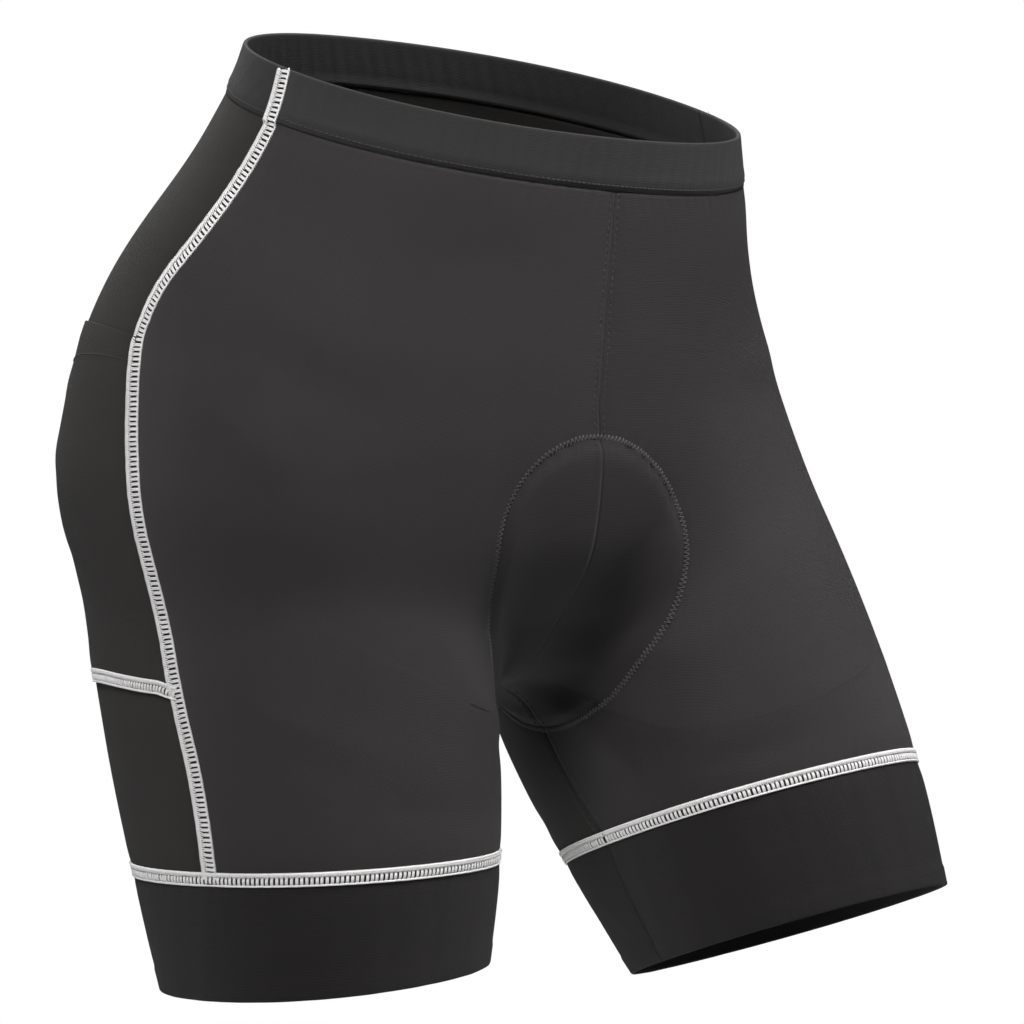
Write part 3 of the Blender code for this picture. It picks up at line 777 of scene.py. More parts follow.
def panel_grid(leg_name, panel):
    """Bare skin, normals, relief and flat places of a panel, with columns from the side seam."""
    leg = LEGS[leg_name]
    top, low = WAISTBAND_HEIGHT / 2 + SEAM_GAP / 2, gripper_row(leg) - SEAM_GAP / 2
    downs = np.linspace(top, low, int((low - top) / CELL) + 1)
    shares = np.linspace(0, 1, PANEL_COLUMNS + 1)
    down, share = np.meshgrid(downs, shares, indexing="ij")
    bare = narrowed(place(leg, down, share, panel), ((0, 1), (-1, -2)))
    normals = outward_normals(bare)
    across, along = running(bare, 1), running(bare, 0)
    from_end = across[:, -1:] - across
    to_low = along[-1:] - along
    phase = 0.13 + 0.4 * (panel == "back") + 0.21 * (leg.outward > 0)
    height = pressed(bare) + creased(bare)
    off_pad = 1 - smooth(0.5 + pad_depth(bare) / OFF_PAD_WIDTH)
    height = height + seam_pull(across, along, phase)
    height = height + CENTRE_SEAM_SHARE * off_pad * seam_pull(from_end, along, 2 * phase)
    height = height + seam_pull(to_low, across, 3 * phase)
    height = height + WAIST_SEAM_SHARE * seam_pull(along, across, 4 * phase)
    return bare, normals, height, np.stack([across, along], -1)


def panel_shell(leg_name, panel, slot):
    """A front or back panel, kept in panel_fields for what is sewn on it."""
    bare, normals, height, cut = panel_grid(leg_name, panel)
    outer = bare + normals * height[..., None]
    whole = np.ones(bare.shape[0]), np.ones(bare.shape[1])
    flip = (LEGS[leg_name].outward > 0) != (panel == "front")
    cloth_piece(f"{panel}_{leg_name}", (outer, normals, cut), CLOTH, slot, flip, whole)
    panel_fields[leg_name, panel] = bare, normals, height


panel_fields = {}


def height_at(leg_name, panel, rows, columns):
    """Outer surface points and normals of a panel, by fractions of its rows and columns."""
    bare, normals, height = panel_fields[leg_name, panel]
    outer = bare + normals * height[..., None]
    r = np.clip(rows, 0, 1) * (outer.shape[0] - 1)
    c = np.clip(columns, 0, 1) * (outer.shape[1] - 1)
    r0 = np.minimum(r.astype(int), outer.shape[0] - 2)
    c0 = np.minimum(c.astype(int), outer.shape[1] - 2)
    fr, fc = (r - r0)[..., None], (c - c0)[..., None]
    both = []
    for grid in (outer, normals):
        both.append(
            (1 - fr) * ((1 - fc) * grid[r0, c0] + fc * grid[r0, c0 + 1])
            + fr * ((1 - fc) * grid[r0 + 1, c0] + fc * grid[r0 + 1, c0 + 1])
        )
    return both


def on_cloth(points):
    """The nearest places on the outer faces of the four panels."""
    corners, faces, first = [], [], 0
    for bare, normals, height in panel_fields.values():
        outer = (bare + normals * height[..., None]).reshape(-1, 3)
        corners.append(outer)
        faces.append(face_grid(*height.shape, False) + first)
        first += len(outer)
    tree = BVHTree.FromPolygons(np.concatenate(corners).tolist(), np.concatenate(faces).tolist())
    return np.array([tree.find_nearest(point)[0] for point in points.tolist()])


def row_share_of(leg, down):
    """The fraction of a panel's rows above a place."""
    top, low = WAISTBAND_HEIGHT / 2 + SEAM_GAP / 2, gripper_row(leg) - SEAM_GAP / 2
    return (down - top) / (low - top)


def pocket_shell(leg_name):
    """A patch on the back panel: hemmed at its mouth, with a little slack in its cloth."""
    leg = LEGS[leg_name]
    radius = POCKET_CLOTH / 2
    downs = HIP_ROW + rounded(EDGE_ROWS, pocket_bottom(leg) - HIP_ROW, radius)
    places = rounded(EDGE_ROWS, POCKET_WIDTH, radius)
    shares = POCKET_SHARE * places / POCKET_WIDTH
    down, share = np.meshgrid(downs, shares, indexing="ij")
    under, normals = height_at(leg_name, "back", row_share_of(leg, down), share)
    across, along = running(under, 1), running(under, 0)
    width = across[:, -1:]
    middle = np.sin(np.pi * across / width)
    hem_edge = smooth((along - POCKET_HEM + POCKET_HEM_STEP) / POCKET_HEM_STEP)
    from_edge = width - across - POCKET_EDGE_IN
    rise = POCKET_OVER + POCKET_CLOTH + POCKET_HEM_RISE * (1 - hem_edge)
    rise = rise + POCKET_GAPE * middle * np.exp(-along / POCKET_GAPE_REACH)
    rise = rise + POCKET_RIPPLE * middle * hum(along + 0.4 * across, POCKET_RIPPLE_WAVE, 0.2)
    rise = rise - POCKET_EDGE_SINK * np.exp(-((from_edge / POCKET_EDGE_WIDTH) ** 2))
    outer = under + normals * rise[..., None]
    rows = edge_share(np.minimum(downs - downs[0], downs[-1] - downs), radius)
    columns = edge_share(np.minimum(places, places[-1] - places), radius)
    grids = outer, normals, np.stack([across, along], -1)
    flip = leg.outward > 0
    edges = rows, columns
    # The pocket uses the back panels' darker copy of the jersey: painted shade.
    cloth_piece(f"pocket_{leg_name}", grids, POCKET_CLOTH, "side_jersey", flip, edges)
    return under, normals, rise


def gripper_shell(leg_name):
    """One band round the thigh, folded up at its hem."""
    leg = LEGS[leg_name]
    start, end = gripper_row(leg) + SEAM_GAP / 2, hem_row(leg)
    downs = grid_rows(start, end, GRIPPER_CLOTH / 2, False, True)
    shares = np.linspace(0, 1, PANEL_COLUMNS + 1)
    down, share = np.meshgrid(downs, shares, indexing="ij")
    front = skin(leg, down, share, "front")
    back = skin(leg, down, share, "back")
    ring = narrowed(np.concatenate([front, back[:, 1:]], axis=1), ((0, 1), (-1, -2)))
    normals = outward_normals(ring)
    across, along = running(ring, 1), running(ring, 0)
    to_hem = along[-1:] - along
    height = seam_pull(along, across, 0.31)
    height = height + GRIPPER_HEM_RISE * smooth((GRIPPER_HEM - to_hem) / GRIPPER_HEM_STEP)
    ripple = hum(across + 0.2 * along, GRIPPER_RIPPLE_WAVE, 0.4)
    height = height + GRIPPER_RIPPLE * ripple * smooth(along / GRIPPER_RIPPLE_FROM)
    outer = ring + normals * height[..., None]
    edges = edge_share(downs[-1] - downs, GRIPPER_CLOTH / 2), np.ones(ring.shape[1])
    grids = outer, normals, np.stack([across, along], -1)
    flip = leg.outward > 0
    cloth_piece(f"gripper_{leg_name}", grids, GRIPPER_CLOTH, "gripper_knit", flip, edges)


def waistband_ring(panel, downs):
    shares = np.linspace(0, 1, PANEL_COLUMNS + 1)
    down, share = np.meshgrid(downs, shares, indexing="ij")
    right = skin(LEGS["right"], down, share, panel)
    left = skin(LEGS["left"], down, share, panel)
    if panel == "front":
        return np.concatenate([right[:, ::-1], left[:, 1:]], axis=1)
    return np.concatenate([left, right[:, ::-1][:, 1:]], axis=1)


def waistband_shell(panel):
    """One band from side seam to side seam, folded over its elastic."""
    low = WAISTBAND_HEIGHT / 2 - SEAM_GAP / 2
    downs = grid_rows(-WAISTBAND_HEIGHT / 2, low, BAND_CLOTH / 2, True, False)
    band = narrowed(waistband_ring(panel, downs), ((0, 1), (-1, -2)))
    normals = outward_normals(band)
    across, along = running(band, 1), running(band, 0)
    to_low = along[-1:] - along
    height = WAISTBAND_PROUD + BAND_RISE * np.exp(-(((to_low - BAND_RISE_AT) / BAND_RISE_WIDTH) ** 2))
    height = height - BAND_GROOVE * np.exp(-(((to_low - BAND_GROOVE_AT) / BAND_GROOVE_WIDTH) ** 2))
    height = height - BAND_LOW_SINK * np.exp(-((to_low / BAND_LOW_WIDTH) ** 2))
    between = smooth(to_low / BAND_RIPPLE_FROM) * smooth(along / BAND_RIPPLE_FROM)
    height = height + BAND_RIPPLE * hum(across, BAND_RIPPLE_WAVE, 0.2) * between
    outer = band + normals * height[..., None]
    edges = edge_share(downs - downs[0], BAND_CLOTH / 2), np.ones(band.shape[1])
    grids = outer, normals, np.stack([across, along], -1)
    cloth_piece(f"waistband_{panel}", grids, BAND_CLOTH, "band_elastic", False, edges)
    waistband_fields[panel] = outer, normals, to_low


waistband_fields = {}


def pad_shell():
    """The pad inside the panels: foam with a channel along its middle and a stitched rim."""
    degrees = np.linspace(PAD_FRONT_END, PAD_BACK_END, PAD_GRID_ROWS + 1)
    along = along_crotch(degrees)
    across = np.linspace(0, PAD_BACK_RADIUS, 500)
    inside = pad_inset(along[:, None], across[None]) > 0
    last_inside = np.where(inside, np.arange(len(across)), 0).max(axis=1)
    half = np.maximum(across[last_inside], PAD_TIP_HALF)
    shares = np.sin(np.linspace(0, np.pi / 2, PAD_GRID_COLUMNS // 2 + 1))[1:]
    starts = crotch_point(degrees)
    left = np.broadcast_to(PELVIS_TURN[:, 0], starts.shape)
    reach = np.linspace(0.002, PAD_BACK_RADIUS, 31)
    sides = []
    for sideways, order in ((-left, -1), (left, 1)):
        path = np.concatenate([starts[None], walk(starts, sideways, reach)])
        at = np.concatenate([[0], reach])
        row_reaches = zip(np.moveaxis(path, 1, 0), half)
        side = [[row_point(row, at, share * reach_of) for share in shares] for row, reach_of in row_reaches]
        sides.append(np.array(side)[:, ::order])
    points = np.concatenate([sides[0], starts[:, None], sides[1]], axis=1)
    offsets = np.concatenate([-shares[::-1], [0], shares]) * half[:, None]
    inset = np.maximum(pad_inset(along[:, None], np.abs(offsets)), 0)
    normals = outward_normals(points)
    outer = points - normals * (CLOTH + PAD_CLEAR)
    slope = smooth((inset - PAD_RIM_WIDTH) / (PAD_SLOPE - 2 * PAD_RIM_WIDTH))
    channel = np.exp(-((offsets / PAD_CHANNEL_HALF) ** 2))
    channel = channel * smooth((inset - PAD_CHANNEL_FROM) / PAD_CHANNEL_EASE)
    groove = np.exp(-(((inset - PAD_RIM_GROOVE_IN) / PAD_RIM_GROOVE_WIDTH) ** 2))
    thick = PAD_RIM + (PAD_MIDDLE - PAD_RIM) * slope - PAD_CHANNEL * channel - PAD_RIM_GROOVE * groove
    inner = outer - normals * thick[..., None]
    cut = np.stack([offsets, np.broadcast_to(along[:, None], offsets.shape)], -1)
    piece = closed_piece("chamois_pad_foam", outer, inner, knits["pad_foam"], False, cut)
    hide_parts("chamois_pad")


def row_point(path, at, length):
    """The point, or each point, at a length along a path."""
    return np.stack([np.interp(length, at, path[:, k]) for k in range(3)], -1)


# Stitches. A course's places lie along the seam, and sideways runs across it
THREAD_SIDES = 6
THREAD_RINGS = 5
HEADING_REACH = 0.002
STEP_WIDTH = 0.003
THREAD = 0.00040
LOOP_PITCH = 0.00105
RUNG_PITCH = 0.0023
RUNG_THREADS = (-0.00034, 0.00034)
SIDE_WIDEN = 1.35
FINE_THREAD = 0.00022
FINE_RISE = 0.00018
SEAM_COLUMN = 0.985
CENTRE_FRONT_END = 0.352
CENTRE_BACK_END = 0.62
INSEAM_START = 0.64
PAD_STITCHES_OUT = 0.0034


def course(points, normals, pitch, step=None):
    """Evenly spaced places along a line on the cloth, each with its directions and the step beside it."""
    steps = np.linalg.norm(np.diff(points, axis=0), axis=1)
    at = np.concatenate([[0], np.cumsum(steps)])
    places = np.arange(pitch / 2, at[-1] - pitch / 4, pitch)
    beside = np.zeros_like(places) if step is None else np.interp(places, at, step)
    position = row_point(points, at, places)
    out = row_point(normals, at, places)
    forward = row_point(points, at, places + HEADING_REACH) - row_point(points, at, places - HEADING_REACH)
    forward = forward - out * (forward * out).sum(-1, keepdims=True)
    forward = forward / np.linalg.norm(forward, axis=-1, keepdims=True)
    out = out / np.linalg.norm(out, axis=-1, keepdims=True)
    return position, forward, np.cross(out, forward), out, beside


def thread_ends(line, start, end, radius, rise, lift, sway=0.0, step_side=1.0):
    """Thread pieces laid from one side place to another at each place of a course."""
    position, forward, sideways, out, step = line
    count = len(position)
    t = np.linspace(0, 1, THREAD_RINGS)
    uneven = sway * hum(np.arange(count) * 1.0, 3.7, 0.2)[:, None, None]
    along = (start[0] + (end[0] - start[0]) * t)[None, :, None] + uneven
    across = (start[1] + (end[1] - start[1]) * t)[None, :, None]
    height = (lift + rise * np.sin(np.pi * t) - 1.2 * radius * (np.abs(2 * t - 1) ** 6))[None, :, None]
    height = height + step[:, None, None] * smooth(0.5 + step_side * across / STEP_WIDTH)
    centre = position[:, None] + forward[:, None] * along + sideways[:, None] * across
    centre = centre + out[:, None] * height
    heading = np.gradient(centre, axis=1)
    heading = heading / np.linalg.norm(heading, axis=-1, keepdims=True)
    beside = np.cross(heading, np.broadcast_to(out[:, None], heading.shape))
    beside = beside / np.linalg.norm(beside, axis=-1, keepdims=True)
    above = np.cross(beside, heading)
    width = radius * (1 - 0.35 * np.abs(2 * t - 1) ** 4)[None, :, None, None]
    angle = np.linspace(0, 2 * np.pi, THREAD_SIDES, endpoint=False)[None, None, :, None]
    round_it = np.cos(angle) * beside[:, :, None] + np.sin(angle) * above[:, :, None]
    return centre[:, :, None] + width * round_it


def thread_mesh(name, rings, look):
    """One object of many thread pieces."""
    rings = np.concatenate(rings)
    count = len(rings)
    per = THREAD_RINGS * THREAD_SIDES
    k = np.arange(THREAD_SIDES)
    quads = []
    for i in range(THREAD_RINGS - 1):
        a, b = i * THREAD_SIDES + k, i * THREAD_SIDES + (k + 1) % THREAD_SIDES
        quads.append(np.stack([b, a, a + THREAD_SIDES, b + THREAD_SIDES], -1))
    first = np.array([[0, 1, 2, 3], [0, 3, 4, 5]])
    last = (first + (THREAD_RINGS - 1) * THREAD_SIDES)[:, ::-1]
    pattern = np.concatenate(quads + [first, last])
    faces = (pattern[None] + (np.arange(count) * per)[:, None, None]).reshape(-1, 4)
    return mesh_piece(name, rings.reshape(-1, 3), faces, look)


# Flatlock rows: the places along and across where each thread starts and ends, its rise and its lift
FlatlockRow = namedtuple("FlatlockRow", "pitch along across end_along end_across rise lift")
FLATLOCK_ROWS = (
    FlatlockRow(LOOP_PITCH, -0.0006, 0.0031, 0.0008, 0.0009, 0.0003, 0.0004),
    FlatlockRow(LOOP_PITCH, 0.0008, 0.0032, -0.0004, 0.0021, 0.0002, 0.0005),
    FlatlockRow(RUNG_PITCH / 2, -0.0009, -0.0024, 0.0008, -0.0031, 0.00025, 0.0004),
)
FLATLOCK_SWAY = 0.0001
RUNG = FlatlockRow(RUNG_PITCH, 0.0, 0.0014, 0.0003, -0.0027, 0.00035, 0.0003)
RUNG_SWAY = 0.00015
RUNG_THREAD = 0.95 * THREAD


def flatlock(name, line, look, braid_side=1.0, widen=1.0, step=None):
    """The wide covering seam: a braid of loops on one side, rungs, and a chain on the other side."""
    points, normals = line
    reach = braid_side * widen
    rings = []
    for row in FLATLOCK_ROWS:
        places = course(points, normals, row.pitch, step)
        start, end = (row.along, reach * row.across), (row.end_along, reach * row.end_across)
        rings.append(thread_ends(places, start, end, THREAD, row.rise, row.lift, FLATLOCK_SWAY, braid_side))
    rungs = course(points, normals, RUNG.pitch, step)
    for shift in RUNG_THREADS:
        start, end = (shift, reach * RUNG.across), (shift + RUNG.end_along, reach * RUNG.end_across)
        rings.append(thread_ends(rungs, start, end, RUNG_THREAD, RUNG.rise, RUNG.lift, RUNG_SWAY, braid_side))
    return thread_mesh(name, rings, look)


def run_stitch(name, lines, look, pitch=0.0032, length=0.0023, radius=FINE_THREAD, lift=0.00005):
    """A plain row of stitches."""
    rings = []
    for points, normals in lines:
        row = course(points, normals, pitch)
        rings.append(thread_ends(row, (-length / 2, 0.0), (length / 2, 0.0), radius, FINE_RISE, lift))
    return thread_mesh(name, rings, look)


def zigzag(name, line, look, pitch=0.0022, half=0.0016, lift=0.00012):
    """Stitches that lean to one side and the other in turn."""
    rings = []
    row = course(*line, pitch)
    for start, end in (((-1, -half), (1, half)), ((1, half), (3, -half))):
        start, end = (start[0] * pitch / 4, start[1]), (end[0] * pitch / 4, end[1])
        rings.append(thread_ends(row, start, end, FINE_THREAD, FINE_RISE, lift))
    return thread_mesh(name, rings, look)


def side_line(leg_name):
    """The side seam from the waistband's top edge to the gripper."""
    leg = LEGS[leg_name]
    band = np.linspace(-WAISTBAND_HEIGHT / 2 + 0.0006, WAISTBAND_HEIGHT / 2, 14)
    on_band = skin(leg, band, np.ones_like(band), "front")
    band_normals = outward_normals(on_band)
    on_band = on_band + band_normals * (WAISTBAND_PROUD + 0.0001)
    rows = np.linspace(0.004, 1, 200)
    on_panel, normals = height_at(leg_name, "front", rows, np.zeros_like(rows))
    mouth, bottom = row_share_of(leg, HIP_ROW), row_share_of(leg, pocket_bottom(leg))
    on_pocket = smooth((rows - mouth) / 0.006) * smooth((bottom - rows) / 0.006)
    step = np.concatenate([np.zeros_like(band), (POCKET_OVER + POCKET_CLOTH) * on_pocket])
    return (np.concatenate([on_band, on_panel]), np.concatenate([band_normals, normals])), step


def pocket_line(under, normals, rise):
    """Along the pocket's bottom edge."""
    points = under[-1] + normals[-1] * (rise[-1] - 0.0004)[:, None]
    return points, normals[-1]


def pocket_stitches(leg_name, under, normals, rise):
    """Plain rows along the pocket's hem and its rear edge."""
    top = under + normals * rise[..., None]
    hem = int(np.argmin(np.abs(running(under, 0)[:, 0] - POCKET_HEM)))
    edge = -EDGE_ROWS - 2
    run_stitch(f"mouth_stitches_{leg_name}", [(top[hem], normals[hem])], tonal_thread)
    run_stitch(f"pocket_edge_{leg_name}", [(top[:, edge], normals[:, edge])], tonal_thread)


def gripper_line(leg_name):
    """Round the thigh where the panels meet the gripper, from the inseam round the front."""
    columns = np.linspace(0, 1, 150)
    bottom = np.ones_like(columns)
    front, front_normals = height_at(leg_name, "front", bottom, 1 - columns)
    back, back_normals = height_at(leg_name, "back", bottom, columns)
    return np.concatenate([front, back[1:]]), np.concatenate([front_normals, back_normals[1:]])


def body_line(leg_name, panel, start, end, count=160):
    """Beside the centre seam or the inseam, between two fractions of the panel's rows."""
    rows = np.linspace(start, end, count)
    return height_at(leg_name, panel, rows, np.full_like(rows, SEAM_COLUMN))


def pad_outline(out=0.0):
    """Places on the cloth all round the pad's outline, a little outside it."""
    front = along_crotch(PAD_FRONT_END) + PAD_FRONT_RADIUS
    back = along_crotch(PAD_BACK_END) - PAD_BACK_RADIUS
    degrees = np.linspace(0, PAD_BACK_END + 12, 150)
    lengths = np.linspace(0.0015, 0.066, 44)
    grid = across_crotch(degrees, lengths)
    offsets = np.concatenate([-lengths[::-1], [0], lengths])
    along = along_crotch(degrees)
    turn_front = np.linspace(-np.pi / 2, np.pi / 2, 60)
    turn_back = np.linspace(np.pi / 2, -np.pi / 2, 60)
    straight = np.linspace(front, back, 90)[1:-1]
    half = np.array([side_reach(a) for a in straight]) + out
    ring_along = np.concatenate(
        [
            front - (PAD_FRONT_RADIUS + out) * np.cos(turn_front),
            straight,
            back + (PAD_BACK_RADIUS + out) * np.cos(turn_back),
            straight[::-1],
        ]
    )
    round_front = (PAD_FRONT_RADIUS + out) * np.sin(turn_front)
    round_back = (PAD_BACK_RADIUS + out) * np.sin(turn_back)
    ring_across = np.concatenate([round_front, half, round_back, -half[::-1]])
    i = np.interp(ring_across, offsets, np.arange(len(offsets)))
    j = np.interp(ring_along, along, np.arange(len(along)))
    i0, j0 = np.minimum(i.astype(int), len(offsets) - 2), np.minimum(j.astype(int), len(along) - 2)
    fi, fj = (i - i0)[:, None], (j - j0)[:, None]
    points = (1 - fi) * ((1 - fj) * grid[i0, j0] + fj * grid[i0, j0 + 1])
    points = points + fi * ((1 - fj) * grid[i0 + 1, j0] + fj * grid[i0 + 1, j0 + 1])
    points = onto_skin(points)
    points = np.concatenate([points, points[:1]])
    normals = outward_normals(points)
    rise = pressed(points) + creased(points)
    return on_cloth(points + normals * rise[:, None]), normals


def side_reach(along):
    """The pad's half width at a length along the crotch seam."""
    across = np.linspace(0.02, 0.07, 400)
    return across[(pad_inset(np.full_like(across, along), across) > 0).sum() - 1]


# Looks
def nodes_of(look):
    """A material's nodes and links."""
    look.use_nodes = True
    return look.node_tree.nodes, look.node_tree.links


def calculate(look, operation, first, second=None):
    """A Math node on sockets or numbers."""
    nodes, links = nodes_of(look)
    node = nodes.new("ShaderNodeMath")
    node.operation = operation
    for socket, value in zip(node.inputs, (first, second)):
        if value is None:
            continue
        if isinstance(value, (int, float)):
            socket.default_value = value
        else:
            links.new(value, socket)
    return node.outputs[0]


def speckle(look, scale, detail, roughness=0.5):
    """Noise fixed to the object."""
    nodes, links = nodes_of(look)
    place_of = nodes.new("ShaderNodeTexCoord")
    noise = nodes.new("ShaderNodeTexNoise")
    noise.inputs["Scale"].default_value = scale
    noise.inputs["Detail"].default_value = detail
    noise.inputs["Roughness"].default_value = roughness
    links.new(place_of.outputs["Object"], noise.inputs["Vector"])
    return noise.outputs["Fac"]


def tinted(look, amount, dark, light):
    """A colour between two, by an amount from 0 to 1."""
    nodes, links = nodes_of(look)
    mix = nodes.new("ShaderNodeMix")
    mix.data_type = "RGBA"
    mix.inputs[6].default_value = (*dark, 1)
    mix.inputs[7].default_value = (*light, 1)
    links.new(amount, mix.inputs[0])
    links.new(mix.outputs[2], nodes["Principled BSDF"].inputs["Base Color"])


def bumped(look, height, distance, strength):
    nodes, links = nodes_of(look)
    bump = nodes.new("ShaderNodeBump")
    bump.inputs["Distance"].default_value = distance
    bump.inputs["Strength"].default_value = strength
    links.new(height, bump.inputs["Height"])
    links.new(bump.outputs["Normal"], nodes["Principled BSDF"].inputs["Normal"])


# Knit: the wander of its columns, the slant of its V stitches, and what its colour and height come from
KNIT_WANDER_SCALE = 60
KNIT_WANDER = 0.35
KNIT_SLANT = 1.1
KNIT_STITCH_HEIGHT = 0.7
KNIT_FUZZ_SCALE = 2600
KNIT_FUZZ_HEIGHT = 0.6
KNIT_MOTTLE_SCALE = 22
KNIT_MOTTLE = 0.7
KNIT_GRAIN_SCALE = 700
KNIT_GRAIN = 0.35
# How much darker the grooves between stitches are painted: painted shade.
KNIT_GROOVE_SHADE = 0.25
KNIT_DARKEN = 0.15


def knit(name, dark, light, wale, course_height, roughness, sheen, bump_depth):
    """A fine knit: columns of small V stitches, mottled a little, with painted shade in the grooves between
    stitches.
    """
    look = bpy.data.materials.new(name)
    nodes, links = nodes_of(look)
    shader = nodes["Principled BSDF"]
    shader.inputs["Roughness"].default_value = roughness
    shader.inputs["Specular IOR Level"].default_value = 0.22
    shader.inputs["Sheen Weight"].default_value = sheen
    shader.inputs["Sheen Roughness"].default_value = 0.45
    shader.inputs["Sheen Tint"].default_value = (0.95, 0.92, 0.92, 1)

    def work(operation, *values):
        return calculate(look, operation, *values)

    flat = nodes.new("ShaderNodeUVMap")
    flat.uv_map = "cut"
    split = nodes.new("ShaderNodeSeparateXYZ")
    links.new(flat.outputs["UV"], split.inputs[0])
    wander = work("MULTIPLY", work("SUBTRACT", speckle(look, KNIT_WANDER_SCALE, 2), 0.5), KNIT_WANDER)
    u = work("ADD", work("DIVIDE", split.outputs[0], wale), wander)
    v = work("DIVIDE", split.outputs[1], course_height)
    from_middle = work("ABSOLUTE", work("SUBTRACT", work("FRACT", u), 0.5))
    slant = work("ADD", work("ADD", v, wander), work("MULTIPLY", from_middle, KNIT_SLANT))
    loops = work("MULTIPLY_ADD", work("COSINE", work("MULTIPLY", slant, 2 * np.pi)), 0.5)
    loops.node.inputs[2].default_value = 0.5
    arch = work("SINE", work("MULTIPLY", work("MULTIPLY", from_middle, 2.0), np.pi))
    stitches = work("MULTIPLY", work("ADD", arch, 0.35), work("ADD", loops, 0.3))
    fuzz = work("MULTIPLY", speckle(look, KNIT_FUZZ_SCALE, 2), KNIT_FUZZ_HEIGHT)
    bumped(look, work("ADD", work("MULTIPLY", stitches, KNIT_STITCH_HEIGHT), fuzz), bump_depth, 0.8)
    mottle = work("MULTIPLY", speckle(look, KNIT_MOTTLE_SCALE, 3), KNIT_MOTTLE)
    grain = work("MULTIPLY", speckle(look, KNIT_GRAIN_SCALE, 3, 0.7), KNIT_GRAIN)
    # Painted shade: the colour darkens in the grooves between the stitches, where the relief is low.
    depth = work("MULTIPLY", stitches, KNIT_GROOVE_SHADE)
    amount = work("SUBTRACT", work("ADD", work("ADD", mottle, grain), depth), KNIT_DARKEN)
    amount.node.use_clamp = True
    tinted(look, amount, dark, light)
    return look


def yarn(name, dark, light):
    """Sewing thread, a little fuzzy and uneven in tone."""
    look = bpy.data.materials.new(name)
    shader = nodes_of(look)[0]["Principled BSDF"]
    shader.inputs["Roughness"].default_value = 0.65
    shader.inputs["Specular IOR Level"].default_value = 0.3
    shader.inputs["Sheen Weight"].default_value = 0.2
    bumped(look, speckle(look, 5200, 2), 0.0001, 0.6)
    tinted(look, speckle(look, 1300, 3, 0.7), dark, light)
    return look


# Knits by slot: dark and light tone, width and height of a stitch, roughness, sheen and depth of relief
Knit = namedtuple("Knit", "dark light wale course_height roughness sheen bump_depth")
KNITS = {
    "jersey": Knit(
        (0.0148, 0.0130, 0.0132), (0.0232, 0.0204, 0.0207), 0.0009, 0.00075, 0.72, 0.08, 0.00022
    ),
    # A darker copy of the front jersey for the back panels and pockets: painted shade for the sides turned
    # away from the lights.
    "side_jersey": Knit(
        (0.0112, 0.0102, 0.0094), (0.0180, 0.0164, 0.0150), 0.0009, 0.00075, 0.76, 0.05, 0.00022
    ),
    "band_elastic": Knit(
        (0.0145, 0.0140, 0.0140), (0.0230, 0.0222, 0.0222), 0.0009, 0.00075, 0.76, 0.08, 0.00025
    ),
    "gripper_knit": Knit(
        (0.0066, 0.0056, 0.0058), (0.0108, 0.0092, 0.0095), 0.0007, 0.0007, 0.82, 0.05, 0.00022
    ),
    "pad_foam": Knit(
        (0.040, 0.040, 0.043), (0.060, 0.060, 0.064), 0.0012, 0.0010, 0.9, 0.3, 0.0003
    ),
}
knits = {slot: knit(slot, *values) for slot, values in KNITS.items()}
pale_thread = yarn("pale_thread", (0.50, 0.49, 0.49), (0.82, 0.81, 0.81))
tonal_thread = yarn("tonal_thread", (0.012, 0.012, 0.012), (0.026, 0.025, 0.025))
pad_thread = yarn("pad_thread", (0.04, 0.039, 0.039), (0.085, 0.082, 0.082))


# The garment
for leg_name, leg in LEGS.items():
    panel_shell(leg_name, "front", "jersey")
    # The back panels use the darker copy of the jersey: painted shade.
    panel_shell(leg_name, "back", "side_jersey")
    pocket = pocket_shell(leg_name)
    gripper_shell(leg_name)
    line, step = side_line(leg_name)
    flatlock(f"side_seam_{leg_name}", line, pale_thread, leg.outward, SIDE_WIDEN, step)
    flatlock(f"pocket_seam_{leg_name}", pocket_line(*pocket), pale_thread, leg.outward)
    flatlock(f"gripper_seam_{leg_name}", gripper_line(leg_name), pale_thread, leg.outward)
    pocket_stitches(leg_name, *pocket)
for panel in ("front", "back"):
    waistband_shell(panel)
    outer, normals, to_low = waistband_fields[panel]
    row = int(np.argmin(np.abs(to_low[:, 0] - BAND_GROOVE_AT)))
    line = outer[row], normals[row]
    run_stitch(f"waist_stitches_{panel}", [line], tonal_thread, pitch=0.0028, length=0.0022, radius=0.00026)
pad_shell()
centre_front = [body_line(leg_name, "front", 0.0, CENTRE_FRONT_END) for leg_name in LEGS]
centre_back = [body_line(leg_name, "back", 0.0, CENTRE_BACK_END) for leg_name in LEGS]
run_stitch("centre_stitches", centre_front + centre_back, tonal_thread)
inseams = [body_line(leg_name, panel, INSEAM_START, 1.0) for leg_name in LEGS for panel in ("front", "back")]
run_stitch("inseam_stitches", inseams, tonal_thread)
zigzag("pad_stitches", pad_outline(PAD_STITCHES_OUT), pad_thread)

# Studio: a pale round floor, white behind it, soft boxes round the shorts
FLOOR = -1.0
FLOOR_RADIUS = 2.9
FLOOR_SIDES = 96
FLOOR_TONE = (0.80, 0.80, 0.80, 1)
FLOOR_SEEN_TONE = (0.62, 0.62, 0.62, 1)
WHITE = (1, 1, 1, 1)
AMBIENT = 0.035
LIGHT_SPREAD = 80.0
SoftLight = namedtuple("SoftLight", "azimuth elevation distance size power")
SOFT_LIGHTS = {
    "key": SoftLight(-60, 44, 2.6, 1.0, 17),
    "fill": SoftLight(30, 54, 2.8, 1.0, 18),
    "top": SoftLight(-30, 80, 2.8, 1.6, 3),
    "back": SoftLight(160, 34, 3.0, 1.6, 7),
}
VIEW_CENTRE = np.array([0.0, 0.0, -0.188])
VIEW_AZIMUTH = -40.0
VIEW_ELEVATION = 1.7
VIEW_DISTANCE = 2.8
VIEW_RIGHT = 0.0103
LENS = 210.0
SENSOR = 36.0


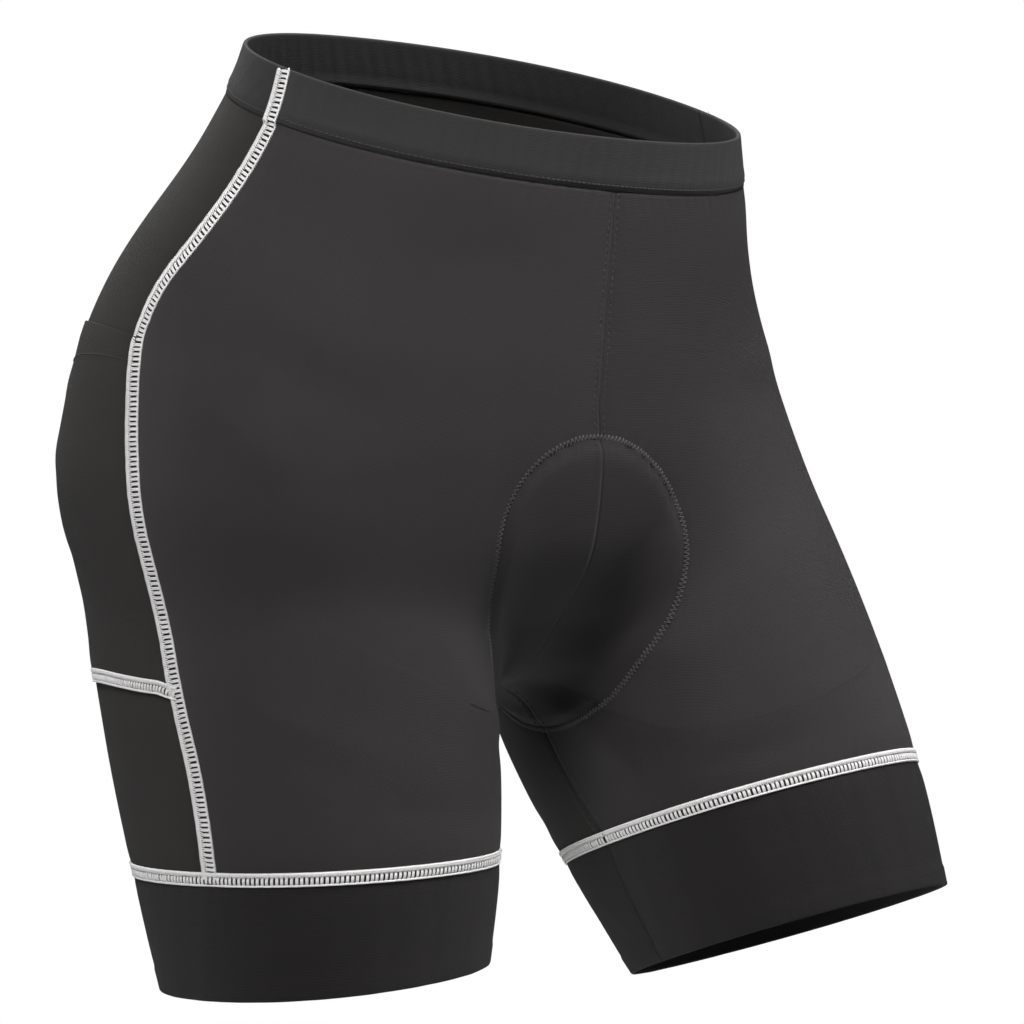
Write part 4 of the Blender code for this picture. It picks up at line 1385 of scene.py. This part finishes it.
def pale_floor():
    """A round floor below the shorts, as pale to the eye in its far parts as near."""
    angle = np.linspace(0, 2 * np.pi, FLOOR_SIDES, endpoint=False)
    depth = np.full(FLOOR_SIDES, FLOOR)
    rim = np.stack([FLOOR_RADIUS * np.cos(angle), FLOOR_RADIUS * np.sin(angle), depth], -1)
    mesh = bpy.data.meshes.new("floor")
    mesh.from_pydata([tuple(p) for p in rim.tolist()], [], [tuple(range(FLOOR_SIDES))])
    pale = bpy.data.materials.new("pale_floor")
    nodes, links = nodes_of(pale)
    shader = nodes["Principled BSDF"]
    shader.inputs["Base Color"].default_value = FLOOR_TONE
    shader.inputs["Roughness"].default_value = 0.9
    shader.inputs["Specular IOR Level"].default_value = 0.1
    shader.inputs["Emission Color"].default_value = FLOOR_SEEN_TONE
    path = nodes.new("ShaderNodeLightPath")
    links.new(path.outputs["Is Camera Ray"], shader.inputs["Emission Strength"])
    mesh.materials.append(pale)
    floor = bpy.data.objects.new("floor", mesh)
    bpy.context.scene.collection.objects.link(floor)


def white_world():
    """White where it is seen, and a weak light from all sides."""
    world = bpy.data.worlds.new("studio")
    bpy.context.scene.world = world
    world.use_nodes = True
    nodes, links = world.node_tree.nodes, world.node_tree.links
    ambient = nodes["Background"]
    ambient.inputs["Color"].default_value = WHITE
    ambient.inputs["Strength"].default_value = AMBIENT
    backdrop = nodes.new("ShaderNodeBackground")
    backdrop.inputs["Color"].default_value = WHITE
    path = nodes.new("ShaderNodeLightPath")
    either = nodes.new("ShaderNodeMixShader")
    links.new(path.outputs["Is Camera Ray"], either.inputs[0])
    links.new(ambient.outputs[0], either.inputs[1])
    links.new(backdrop.outputs[0], either.inputs[2])
    links.new(either.outputs[0], nodes["World Output"].inputs["Surface"])


def outward(azimuth, elevation):
    """The direction from the shorts to a light or the camera. Azimuth 0 is in front of the wearer."""
    a, e = np.radians(azimuth), np.radians(elevation)
    return np.array([np.sin(a) * np.cos(e), -np.cos(a) * np.cos(e), np.sin(e)])


def aimed(name, data, direction, place):
    """An object at a place that looks back along a direction."""
    item = bpy.data.objects.new(name, data)
    item.location = place
    item.rotation_euler = Vector(tuple(direction)).to_track_quat("Z", "Y").to_euler()
    bpy.context.scene.collection.objects.link(item)
    return item


def soft_box(name, light):
    """A square soft box that faces the shorts."""
    data = bpy.data.lights.new(name, "AREA")
    data.size = light.size
    data.spread = np.radians(LIGHT_SPREAD)
    data.energy = light.power
    out = outward(light.azimuth, light.elevation)
    aimed(name, data, out, VIEW_CENTRE + out * light.distance)


def camera():
    """The photo's view: far off through a long lens, from the front and a little to the wearer's right."""
    data = bpy.data.cameras.new("camera")
    data.lens = LENS
    data.sensor_width = SENSOR
    back = outward(VIEW_AZIMUTH, VIEW_ELEVATION)
    right = outward(VIEW_AZIMUTH + 90, 0.0)
    place = VIEW_CENTRE + back * VIEW_DISTANCE + right * VIEW_RIGHT
    bpy.context.scene.camera = aimed("camera", data, back, place)


pale_floor()
white_world()
for name, light in SOFT_LIGHTS.items():
    soft_box(name, light)
camera()
bpy.context.scene.view_settings.view_transform = "Standard"
